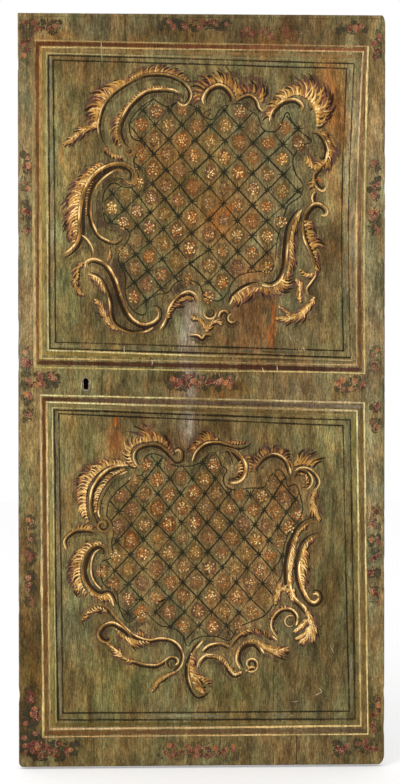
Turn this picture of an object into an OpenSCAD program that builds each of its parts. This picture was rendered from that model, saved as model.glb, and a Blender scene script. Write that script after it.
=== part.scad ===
// A ledged plank door: four boards, tongued together and held flat by three battens
// that slide into dovetail housings across the back. Two wrought strap hinges turn on
// pintles fixed to the side of the doorway, and an iron rim lock throws its bolt past
// the other edge.
//
// Frame: X across the door, Y from the painted face to the back, Z up. The origin is
// the middle of the bottom edge, half way through the boards.

/* [Leaf] */
// Width of the whole leaf
leaf_w = 976; // [800:1:1200]
// Height of the whole leaf
leaf_h = 2000; // [1650:1:2450]
// Thickness of the boards
leaf_t = 30; // [24:0.5:40]
// Width of the board at the lock side
lock_board_w = 222; // [200:1:270]
// Width of the second board
second_board_w = 226; // [150:1:280]
// Width of the third board
third_board_w = 230; // [180:1:300]
// Gap that has opened between the boards as they dried
joint_gap = 0.8; // [0.2:0.1:0.9]
// Thickness of the tongues between the boards
tongue_t = 8; // [5:0.5:10]
// Depth of the tongues
tongue_d = 8; // [5:0.5:12]
// Width and height lost at the top corner on the hinge side
top_wear = [8, 24]; // [2:1:60]
// Width and height lost at the bottom corner on the hinge side
foot_wear = [18, 28]; // [2:1:60]
// Width and height lost at the bottom corner on the lock side
toe_wear = [12, 12]; // [2:1:60]

/* [Battens] */
// Width of a batten, from top to bottom
batten_w = 80; // [50:1:110]
// How far a batten stands off the back of the boards
batten_proud = 22; // [14:0.5:34]
// How deep a batten is let into the boards
batten_let_in = 10; // [6:0.5:11]
// How much the dovetail spreads on each side
dovetail_flare = 4; // [2:0.5:8]
// Chamfer on the long edges of a batten
batten_chamfer = 4; // [1:0.5:8]
// From the top and the bottom of the leaf to the middle of the outer battens
batten_inset = 240; // [150:1:320]
// From the key's axis down to the middle of the middle batten
mid_batten_drop = 147; // [110:1:220]
// Bare boards between a batten's end and the lock edge
batten_end_lock = 18; // [4:1:60]
// Space between a batten's end and the sweep of a pintle's plate
batten_to_plate = 7; // [4:1:60]
// Radius of the wooden pegs
peg_r = 5; // [3:0.5:8]
// How far a peg goes into the board under its batten
peg_bite = 12; // [6:0.5:14]

/* [Hinges] */
// Length of a strap from the hinge axis to its round end
strap_l = 520; // [300:1:560]
// Width of a strap at its eye
strap_root_w = 44; // [30:1:60]
// Width of a strap at its round end
strap_tip_w = 26; // [18:1:36]
// Thickness of a strap
strap_t = 5; // [3:0.5:7]
// From the top and the bottom of the leaf to the middle of a strap
strap_inset = 350; // [300:1:500]
// Bore of a strap's eye, as a radius
eye_r = 7; // [5:0.1:9]
// Wall of a strap's eye
eye_wall = 5; // [3:0.5:6]
// From the hinge axis to the first nail of a strap
strap_first_nail = 50; // [30:1:80]
// From the last nail of a strap to the middle of its round end
strap_last_nail = 30; // [0:1:60]
// From the hinge edge of the leaf to the hinge axis
axis_inset = 14; // [13:0.5:24]
// Gap between the leaf and the reveal
reveal_gap = 2; // [1:0.5:4]
// Width of a pintle's plate, into the depth of the wall
plate_w = 42; // [34:1:60]
// Height of a pintle's plate
plate_h = 100; // [80:1:140]
// Thickness of a pintle's plate
plate_t = 5; // [3:0.5:6]
// Height of the lug that carries a strap's eye
lug_h = 16; // [10:1:24]
// How far the pin stands above the eye
pin_over = 5; // [2:1:12]
// Radius of the nail holes in a pintle's plate
plate_hole_r = 3; // [2:0.1:4]
// Distance between the nail holes in a pintle's plate
plate_hole_gap = 56; // [40:1:60]

/* [Lock] */
// From the lock edge of the leaf to the key's axis
backset = 179.5; // [120:0.5:190]
// Height of the key's axis above the bottom of the leaf
key_z = 1027; // [900:1:1100]
// Radius of the round top of the keyhole
keyhole_r = 7; // [5:0.1:9]
// From the keyhole's round top down to its round foot
keyhole_drop = 16; // [12:0.5:24]
// Width of the slot between them
keyhole_slot = 12.4; // [8:0.1:13.6]
// Rim of the metal liner round the keyhole
liner_rim = 2.2; // [1:0.1:4]
// Depth of the liner
liner_d = 6; // [3:0.5:10]
// Length of the lock's case
case_l = 212; // [200:1:216]
// Height of the case above the key's axis
case_up = 58; // [52:1:80]
// Height of the case below the key's axis
case_down = 62; // [40:1:80]
// How far the case stands off the boards
case_d = 32; // [26:0.5:44]
// Thickness of the case's iron
case_wall = 2.5; // [1.5:0.1:4]
// Height of the bolt
bolt_h = 26; // [18:0.5:28]
// Thickness of the bolt
bolt_t = 14; // [8:0.5:14]
// From the key's axis up to the bolt
bolt_rise = 13; // [12:0.5:16]
// How far the key throws the bolt
bolt_throw = 28; // [15:1:32]
// Radius of the stump that guides the bolt
stump_r = 4; // [3:0.1:5]

/* [Nails] */
// Radius of the nails in the straps and the lock
nail_r = 2.2; // [1.5:0.1:3]
// Radius of a nail's head
nail_head_r = 7; // [5:0.5:10]
// Height of a nail's head
nail_head_h = 2.6; // [1.5:0.1:4]
// How far a nail goes into the boards
nail_bite = 20; // [12:0.5:22]

/* [Hidden] */
$fn = 48;
snug = 0.1;      // round a nail or a peg in its hole
slip = 0.2;      // between a tongue or a batten and its groove
running = 0.05;  // between a pintle's pin and the eye
clear = 0.3;     // between pieces that slide or pass
past = 1;        // how far a cutter runs past the face it opens

left_x = -leaf_w / 2;
right_x = leaf_w / 2;
front_y = -leaf_t / 2;
back_y = leaf_t / 2;
joints = [left_x + lock_board_w,
          left_x + lock_board_w + second_board_w,
          left_x + lock_board_w + second_board_w + third_board_w];
board_left = [left_x, joints[0] + joint_gap / 2, joints[1] + joint_gap / 2, joints[2] + joint_gap / 2];
board_right = [joints[0] - joint_gap / 2, joints[1] - joint_gap / 2, joints[2] - joint_gap / 2, right_x];
tongue_y = -leaf_t / 10;

key_x = left_x + backset;
batten_zs = [batten_inset, key_z - mid_batten_drop, leaf_h - batten_inset];

eye_or = eye_r + eye_wall;
axis_x = right_x - axis_inset;
axis_y = back_y + eye_or + clear;
strap_zs = [strap_inset, leaf_h - strap_inset];
strap_nail_gap = (strap_l - strap_first_nail - strap_last_nail) / 4;
strap_nail_at = [for (k = [0:4]) strap_first_nail + k * strap_nail_gap];
reveal_x = right_x + reveal_gap;
boss_r = axis_y - back_y - 2 * clear;
plate_off_boards = 4;
plate_y0 = back_y + plate_off_boards;
plate_y1 = plate_y0 + plate_w;
plate_mid_y = (axis_y + eye_or + plate_y1) / 2;
plate_sweep = norm([reveal_x - axis_x, plate_y1 - axis_y]);
pin_r = eye_r - running;

batten_x0 = left_x + batten_end_lock;
batten_x1 = axis_x - plate_sweep - batten_to_plate;
batten_back = back_y + batten_proud;
peg_xs = [for (i = [0:3]) (max(board_left[i], batten_x0) + min(board_right[i], batten_x1)) / 2];

case_x1 = left_x + case_l;
case_z0 = key_z - case_down;
case_z1 = key_z + case_up;
case_back = back_y + case_d;
bolt_z0 = key_z + bolt_rise;
bolt_z1 = bolt_z0 + bolt_h;
bolt_y1 = case_back - case_wall - clear;
bolt_y0 = bolt_y1 - bolt_t;
bolt_end_clear = 5;
bolt_end = case_x1 - case_wall - bolt_end_clear;
talon_x = key_x + bolt_throw / 2;
talon_w = 16;
talon_h = 12;
stump_from_edge = 88;
stump_x = left_x + stump_from_edge;
stump_head_r = stump_r + 3;
stump_head_t = 2.5;
lock_nail_inset = [14, 11];
lock_nails_at = [for (x = [left_x + lock_nail_inset[0], case_x1 - lock_nail_inset[0]])
                 for (z = [case_z0 + lock_nail_inset[1], case_z1 - lock_nail_inset[1]]) [x, z]];
spring_from_end = 48;
spring_x = case_x1 - spring_from_end;
spring_t = 1.5;
spring_w = 9;
spring_reach = 66;
spring_lap = [7, 8];  // flat under the rivet, to either side of it
rivet_r = 2;
rivet_head_over = 1.5;
rivet_head_t = 1;
liner_proud = 0.4;
keyhole_foot_less = 0.2;  // how much smaller the keyhole's foot is than its top

PINE = [0.36, 0.31, 0.18];
OLD_WOOD = [0.34, 0.25, 0.16];
PEG_WOOD = [0.28, 0.19, 0.11];
IRON = [0.16, 0.14, 0.13];
RUST = [0.27, 0.17, 0.11];
BRASS = [0.45, 0.38, 0.30];

// A box between two corners
module slab(low, high) {
    translate(low) cube(high - low);
}

// Stands an outline drawn in X and Z up, from y0 to y1
module through_y(y0, y1) {
    translate([0, y1, 0]) rotate([90, 0, 0]) linear_extrude(y1 - y0) children();
}

// Runs an outline drawn in Y and Z along X, from x0 to x1
module along_x(x0, x1) {
    translate([x0, 0, 0]) rotate([90, 0, 90]) linear_extrude(x1 - x0) children();
}

// A round bar along Y
module rod_y(x, z, r, y0, y1) {
    translate([x, y1, z]) rotate([90, 0, 0]) cylinder(r = r, h = y1 - y0);
}

// The keyhole's outline, grown by a rim
module keyhole_outline(rim = 0) {
    translate([key_x, key_z]) circle(r = keyhole_r + rim);
    translate([key_x, key_z - keyhole_drop]) circle(r = keyhole_r - keyhole_foot_less + rim);
    translate([key_x - keyhole_slot / 2 - rim, key_z - keyhole_drop])
        square([keyhole_slot + 2 * rim, keyhole_drop]);
}

// The dovetail that holds a batten in the boards, in Y and Z, grown by a clearance
module dovetail_outline(z, gap = 0) {
    narrow = batten_w / 2 - dovetail_flare + gap;
    wide = batten_w / 2 + gap;
    polygon([[back_y - batten_let_in - gap, z - wide], [back_y - batten_let_in - gap, z + wide],
             [back_y, z + narrow], [back_y + past, z + narrow],
             [back_y + past, z - narrow], [back_y, z - narrow]]);
}

// The face of one board in X and Z, with the worn corners of the outer two
module board_outline(i) {
    x0 = board_left[i];
    x1 = board_right[i];
    bottom_left = i == 0
        ? [[x0 + toe_wear[0], 0], [x0 + toe_wear[0] * 0.3, toe_wear[1] * 0.3], [x0, toe_wear[1]]]
        : [[x0, 0]];
    top_right = i == 3
        ? [[x1 - top_wear[0], leaf_h], [x1 - top_wear[0] * 0.35, leaf_h - top_wear[1] * 0.35],
           [x1, leaf_h - top_wear[1]]]
        : [[x1, leaf_h]];
    bottom_right = i == 3
        ? [[x1, foot_wear[1]], [x1 - foot_wear[0] * 0.12, foot_wear[1] * 0.5],
           [x1 - foot_wear[0] * 0.45, foot_wear[1] * 0.15], [x1 - foot_wear[0], 0]]
        : [[x1, 0]];
    polygon(concat(bottom_left, [[x0, leaf_h]], top_right, bottom_right));
}

module peg_holes(z, r) {
    for (x = peg_xs) rod_y(x, z, r, back_y - batten_let_in - peg_bite, batten_back + past);
}

module strap_nail_holes(z, r, depth) {
    for (d = strap_nail_at) rod_y(axis_x - d, z, r, back_y - depth, back_y + strap_t + past);
}

module board(i) {
    color(PINE) difference() {
        union() {
            through_y(front_y, back_y) board_outline(i);
            if (i < 3)
                slab([board_right[i] - past, tongue_y - tongue_t / 2, 0],
                     [board_right[i] + tongue_d, tongue_y + tongue_t / 2, leaf_h]);
        }
        if (i > 0)
            slab([board_left[i] - past, tongue_y - tongue_t / 2 - slip, -past],
                 [board_left[i] + tongue_d - joint_gap + slip, tongue_y + tongue_t / 2 + slip, leaf_h + past]);
        for (z = batten_zs) {
            along_x(left_x - past, batten_x1 + slip) dovetail_outline(z, slip);
            peg_holes(z, peg_r + snug);
        }
        for (z = strap_zs) strap_nail_holes(z, nail_r + snug, nail_bite + snug);
        if (i == 0) {
            through_y(front_y - past, back_y + past) keyhole_outline();
            through_y(front_y - past, front_y + liner_d) keyhole_outline(liner_rim + snug);
            for (at = lock_nails_at)
                rod_y(at[0], at[1], nail_r + snug, back_y - nail_bite - snug, back_y + past);
        }
    }
}

module batten(i) {
    z = batten_zs[i];
    half = batten_w / 2 - dovetail_flare;
    color(OLD_WOOD) difference() {
        along_x(batten_x0, batten_x1)
            polygon([[back_y - batten_let_in, z - batten_w / 2], [back_y - batten_let_in, z + batten_w / 2],
                     [back_y, z + half], [batten_back - batten_chamfer, z + half],
                     [batten_back, z + half - batten_chamfer], [batten_back, z - half + batten_chamfer],
                     [batten_back - batten_chamfer, z - half], [back_y, z - half]]);
        peg_holes(z, peg_r + snug);
    }
}

module batten_pegs(i) {
    color(PEG_WOOD) for (x = peg_xs)
        rod_y(x, batten_zs[i], peg_r, back_y - batten_let_in - peg_bite, batten_back);
}

// A strap with its rolled eye, nailed to the back of the boards
module strap(i) {
    z = strap_zs[i];
    color(IRON) difference() {
        union() {
            through_y(back_y, back_y + strap_t) {
                polygon([[axis_x, z - strap_root_w / 2], [axis_x, z + strap_root_w / 2],
                         [axis_x - strap_l, z + strap_tip_w / 2], [axis_x - strap_l, z - strap_tip_w / 2]]);
                translate([axis_x - strap_l, z]) circle(r = strap_tip_w / 2);
            }
            translate([axis_x, axis_y, z - strap_root_w / 2]) cylinder(r = eye_or, h = strap_root_w);
        }
        translate([axis_x, axis_y, z - strap_root_w / 2 - past])
            cylinder(r = eye_r, h = strap_root_w + 2 * past);
        strap_nail_holes(z, nail_r + snug, past);
    }
}

// A nail along Y whose head sits on the face at seat_y
module nail(x, z, seat_y, tip_y) {
    rod_y(x, z, nail_r, tip_y, seat_y);
    translate([x, seat_y, z]) rotate([-90, 0, 0])
        cylinder(r1 = nail_head_r, r2 = nail_head_r * 0.45, h = nail_head_h);
}

module strap_nails(i) {
    color(RUST) for (d = strap_nail_at)
        nail(axis_x - d, strap_zs[i], back_y + strap_t, back_y - nail_bite);
}

// A plate on the reveal, with a lug that carries the pin the strap turns on
module pintle(i) {
    eye_z = strap_zs[i] - strap_root_w / 2;
    plate_z0 = eye_z - clear - plate_h;
    web_half = boss_r * 0.7;
    tip_taper = 0.6;
    tip_h = 3;
    color(IRON) difference() {
        union() {
            slab([reveal_x - plate_t, plate_y0, plate_z0],
                 [reveal_x, plate_y1, eye_z - clear]);
            translate([axis_x, axis_y, eye_z - lug_h]) cylinder(r = boss_r, h = lug_h);
            slab([axis_x, axis_y - web_half, eye_z - lug_h],
                 [reveal_x - plate_t + past, axis_y + web_half, eye_z - clear]);
            translate([axis_x, axis_y, eye_z - past]) cylinder(r = pin_r, h = strap_root_w + pin_over + past);
            translate([axis_x, axis_y, eye_z + strap_root_w + pin_over])
                cylinder(r1 = pin_r, r2 = pin_r * tip_taper, h = tip_h);
        }
        for (side = [-1, 1])
            translate([reveal_x - plate_t - past, plate_mid_y,
                       plate_z0 + plate_h / 2 - lug_h / 2 + side * plate_hole_gap / 2])
                rotate([0, 90, 0]) cylinder(r = plate_hole_r, h = plate_t + 2 * past);
    }
}

// A thin rim let into the painted face round the keyhole
module keyhole_liner() {
    color(BRASS) through_y(front_y - liner_proud, front_y + liner_d - snug) difference() {
        keyhole_outline(liner_rim);
        keyhole_outline();
    }
}

// An iron box, open towards the boards and closed at its back, with the bolt's slot in its edge
module lock_case() {
    color(IRON) difference() {
        slab([left_x, back_y, case_z0], [case_x1, case_back, case_z1]);
        slab([left_x + case_wall, back_y - past, case_z0 + case_wall],
             [case_x1 - case_wall, case_back - case_wall, case_z1 - case_wall]);
        slab([left_x - past, bolt_y0 - clear, bolt_z0 - clear],
             [left_x + case_wall + past, bolt_y1 + clear, bolt_z1 + clear]);
        rod_y(stump_x, bolt_z0 + bolt_h / 2, stump_r, case_back - case_wall - past, case_back + past);
        for (at = lock_nails_at)
            rod_y(at[0], at[1], nail_r + snug, case_back - case_wall - past, case_back + past);
        translate([spring_x, (bolt_y0 + bolt_y1) / 2, case_z1 - case_wall - past])
            cylinder(r = rivet_r, h = case_wall + 2 * past);
    }
}

// The bolt, drawn back, with the talon that the key turns against
module lock_bolt() {
    z = bolt_z0 + bolt_h / 2;
    slot_r = stump_r + clear;
    color(IRON) difference() {
        slab([left_x, bolt_y0, bolt_z0], [bolt_end, bolt_y1, bolt_z1]);
        slab([talon_x - talon_w / 2, bolt_y0 - past, bolt_z0 - past],
             [talon_x + talon_w / 2, bolt_y1 + past, bolt_z0 + talon_h]);
        rod_y(stump_x, z, slot_r, bolt_y0 - past, bolt_y1 + past);
        rod_y(stump_x + bolt_throw, z, slot_r, bolt_y0 - past, bolt_y1 + past);
        slab([stump_x, bolt_y0 - past, z - slot_r], [stump_x + bolt_throw, bolt_y1 + past, z + slot_r]);
    }
}

// A headed stump, riveted into the case, that the bolt slides along
module bolt_stump() {
    z = bolt_z0 + bolt_h / 2;
    color(IRON) {
        rod_y(stump_x, z, stump_r, bolt_y0 - clear - stump_head_t, case_back);
        rod_y(stump_x, z, stump_head_r, bolt_y0 - clear - stump_head_t, bolt_y0 - clear);
    }
}

// A leaf spring under the case's top edge that bears on the bolt
module bolt_spring() {
    top = case_z1 - case_wall;
    low = bolt_z1 + clear;
    drop = top - low - spring_t;
    steps = 12;
    spring_turn = 120;
    under = [for (k = [0:steps])
             let (t = k / steps)
             [spring_x - spring_lap[1] - t * spring_reach, top - spring_t - drop * sin(t * spring_turn)]];
    y = (bolt_y0 + bolt_y1) / 2;
    color(RUST) difference() {
        through_y(y - spring_w / 2, y + spring_w / 2)
            polygon(concat([[spring_x + spring_lap[0], top], [spring_x + spring_lap[0], top - spring_t]], under,
                           [for (k = [steps:-1:0]) under[k] + [0, spring_t]]));
        translate([spring_x, y, top - spring_t - past]) cylinder(r = rivet_r, h = spring_t + 2 * past);
    }
}

module spring_rivet() {
    top = case_z1 - case_wall;
    color(RUST) translate([spring_x, (bolt_y0 + bolt_y1) / 2, top - spring_t - rivet_head_t])
        union() {
            cylinder(r = rivet_r + rivet_head_over, h = rivet_head_t);
            translate([0, 0, rivet_head_t]) cylinder(r = rivet_r, h = spring_t + case_wall);
        }
}

module lock_nails() {
    color(RUST) for (at = lock_nails_at) nail(at[0], at[1], case_back, back_y - nail_bite);
}

board(0);  // lock_board
board(1);  // second_board
board(2);  // third_board
board(3);  // hinge_board
batten(0);  // lower_batten
batten(1);  // middle_batten
batten(2);  // upper_batten
batten_pegs(0);  // lower_batten_pegs
batten_pegs(1);  // middle_batten_pegs
batten_pegs(2);  // upper_batten_pegs
strap(0);  // lower_strap
strap(1);  // upper_strap
strap_nails(0);  // lower_strap_nails
strap_nails(1);  // upper_strap_nails
pintle(0);  // lower_pintle
pintle(1);  // upper_pintle
keyhole_liner();
lock_case();
lock_bolt();
bolt_stump();
bolt_spring();
spring_rivet();
lock_nails();
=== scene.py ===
import bmesh
import bpy
import numpy as np
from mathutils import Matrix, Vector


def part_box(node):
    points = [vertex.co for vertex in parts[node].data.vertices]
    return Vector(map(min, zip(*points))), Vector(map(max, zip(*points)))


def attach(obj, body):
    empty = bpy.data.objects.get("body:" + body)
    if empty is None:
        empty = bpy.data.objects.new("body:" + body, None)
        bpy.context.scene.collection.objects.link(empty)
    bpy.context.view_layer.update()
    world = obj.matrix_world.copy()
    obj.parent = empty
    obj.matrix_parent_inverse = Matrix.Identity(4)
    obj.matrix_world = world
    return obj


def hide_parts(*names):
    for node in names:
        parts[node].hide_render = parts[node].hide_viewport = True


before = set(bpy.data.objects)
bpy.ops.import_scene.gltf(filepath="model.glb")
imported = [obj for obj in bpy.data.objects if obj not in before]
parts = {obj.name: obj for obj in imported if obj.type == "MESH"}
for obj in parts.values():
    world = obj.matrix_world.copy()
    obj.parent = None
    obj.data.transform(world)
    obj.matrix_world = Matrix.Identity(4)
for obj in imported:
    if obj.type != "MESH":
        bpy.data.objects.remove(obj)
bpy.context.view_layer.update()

mm = 0.001


# ---------------------------------------------------------------- the four boards
# Four old softwood boards stand side by side with tongues between them. They have cupped a
# little, their arrises and the leaf's corners are worn round, and their ends have split. The
# front was lacquered olive green; back, edges and ends are bare wood gone grey and brown.

BOARD_NODES = ["lock_board", "second_board", "third_board", "hinge_board"]
leaf_low, leaf_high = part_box("lock_board")[0] / mm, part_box("hinge_board")[1] / mm
leaf_top = leaf_high.z
board_left = [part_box(node)[0].x / mm for node in BOARD_NODES]
board_gap = 0.8
board_right = [left - board_gap for left in board_left[1:]] + [leaf_high.x]
FACE_DEPTH = 0.5     # the mean painted face lies this far inside the box of the boards
face_y = leaf_low.y + FACE_DEPTH
back_y = leaf_high.y
CUP, WAVES, RIDGES = 0.22, 0.16, 0.10     # how far a board's face departs from flat
JOINT_SWELL = 0.25    # paint and dirt have closed the joints by this much from each side
# where a board has split: the board, x, from which end, how far, how wide at the end
SPLITS = [(0, -288, "foot", 165, 1.6), (1, -204, "head", 130, 1.8),
          (2, 48, "foot", 195, 1.8), (3, 253, "foot", 140, 2.4)]


NOISE_CELLS = 64


def soft_noise(x, z, step_x, step_z, seed):
    """Smooth random values from 0 to 1: a seeded table of numbers, one every step_x by step_z
    millimetres, blended between its four neighbours with the curve 3t^2 - 2t^3."""
    table = np.random.default_rng(seed).random((NOISE_CELLS, NOISE_CELLS))
    u, v = x / step_x + 1000.0, z / step_z + 1000.0
    i, j = np.floor(u).astype(int), np.floor(v).astype(int)
    fu, fv = u - i, v - j
    i, j, next_i, next_j = i % NOISE_CELLS, j % NOISE_CELLS, (i + 1) % NOISE_CELLS, (j + 1) % NOISE_CELLS
    fu, fv = fu * fu * (3 - 2 * fu), fv * fv * (3 - 2 * fv)
    low = table[i, j] * (1 - fu) + table[next_i, j] * fu
    high = table[i, next_j] * (1 - fu) + table[next_i, next_j] * fu
    return low * (1 - fv) + high * fv


def smooth(low, high, value):
    """0 below low, 1 above high, and 3t^2 - 2t^3 between."""
    t = np.clip((value - low) / (high - low), 0, 1)
    return t * t * (3 - 2 * t)


def face_at(x, z):
    """Depth of the painted face at x, z: the mean face, plus each board's cup, which is the
    square of the distance from its middle, plus long waves and ridges that follow the grain."""
    cup = np.zeros_like(x)
    for left, right in zip(board_left, board_right):
        across = np.clip((2 * x - left - right) / (right - left), -1, 1)
        cup += np.where((x >= left) & (x <= right), CUP * across ** 2, 0)
    waves = WAVES * (soft_noise(x, z, 60, 300, 3) - 0.5)
    ridges = RIDGES * (soft_noise(x, z, 13, 160, 4) - 0.5)
    return face_y + cup - waves - ridges


def spaced(start, end, step, near_ends, extra=()):
    """Places from start to end: every step, closer at both ends, and round each extra place."""
    inner = np.linspace(start, end, max(int((end - start) / step), 2) + 1)
    ends = np.array([start + d for d in near_ends] + [end - d for d in near_ends])
    round_extra = [e + d for e in extra for d in (-4, -1.4, -0.7, 0, 0.7, 1.4, 4)]
    places = np.unique(np.round(np.concatenate([inner, ends, round_extra]), 3))
    keep = np.concatenate([[True], np.diff(places) > 0.3])
    keep[-1] = True
    return places[keep]


def box_grid(nx, ny, nz):
    """The closed surface of a block of nx by ny by nz cells: (i, j, k) of each vertex, and quads
    that face outwards."""
    index = -np.ones((nx + 1, ny + 1, nz + 1), int)
    i, j, k = np.indices(index.shape)
    skin = (i == 0) | (i == nx) | (j == 0) | (j == ny) | (k == 0) | (k == nz)
    index[skin] = np.arange(skin.sum())

    def patch(grid, flip):
        quads = np.stack([grid[:-1, :-1], grid[1:, :-1], grid[1:, 1:], grid[:-1, 1:]], -1).reshape(-1, 4)
        return quads[:, ::-1] if flip else quads

    quads = [patch(index[0], True), patch(index[nx], False), patch(index[:, 0], False),
             patch(index[:, ny], True), patch(index[:, :, 0], True), patch(index[:, :, nz], False)]
    return i[skin], j[skin], k[skin], np.concatenate(quads)


def make_mesh(name, points, faces, smooth_faces=True):
    """A mesh object at the origin from points in millimetres and a list of faces."""
    mesh = bpy.data.meshes.new(name)
    mesh.from_pydata((np.asarray(points) * mm).tolist(), [], [list(map(int, f)) for f in faces])
    mesh.polygons.foreach_set("use_smooth", [smooth_faces] * len(mesh.polygons))
    mesh.update()
    thing = bpy.data.objects.new(name, mesh)
    bpy.context.scene.collection.objects.link(thing)
    return thing


def colour_layer(thing, name, values):
    """Stores four numbers per vertex under a name that a material can read."""
    layer = thing.data.attributes.new(name, "FLOAT_COLOR", "POINT")
    layer.data.foreach_set("color", np.asarray(values, np.float32).ravel())


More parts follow.
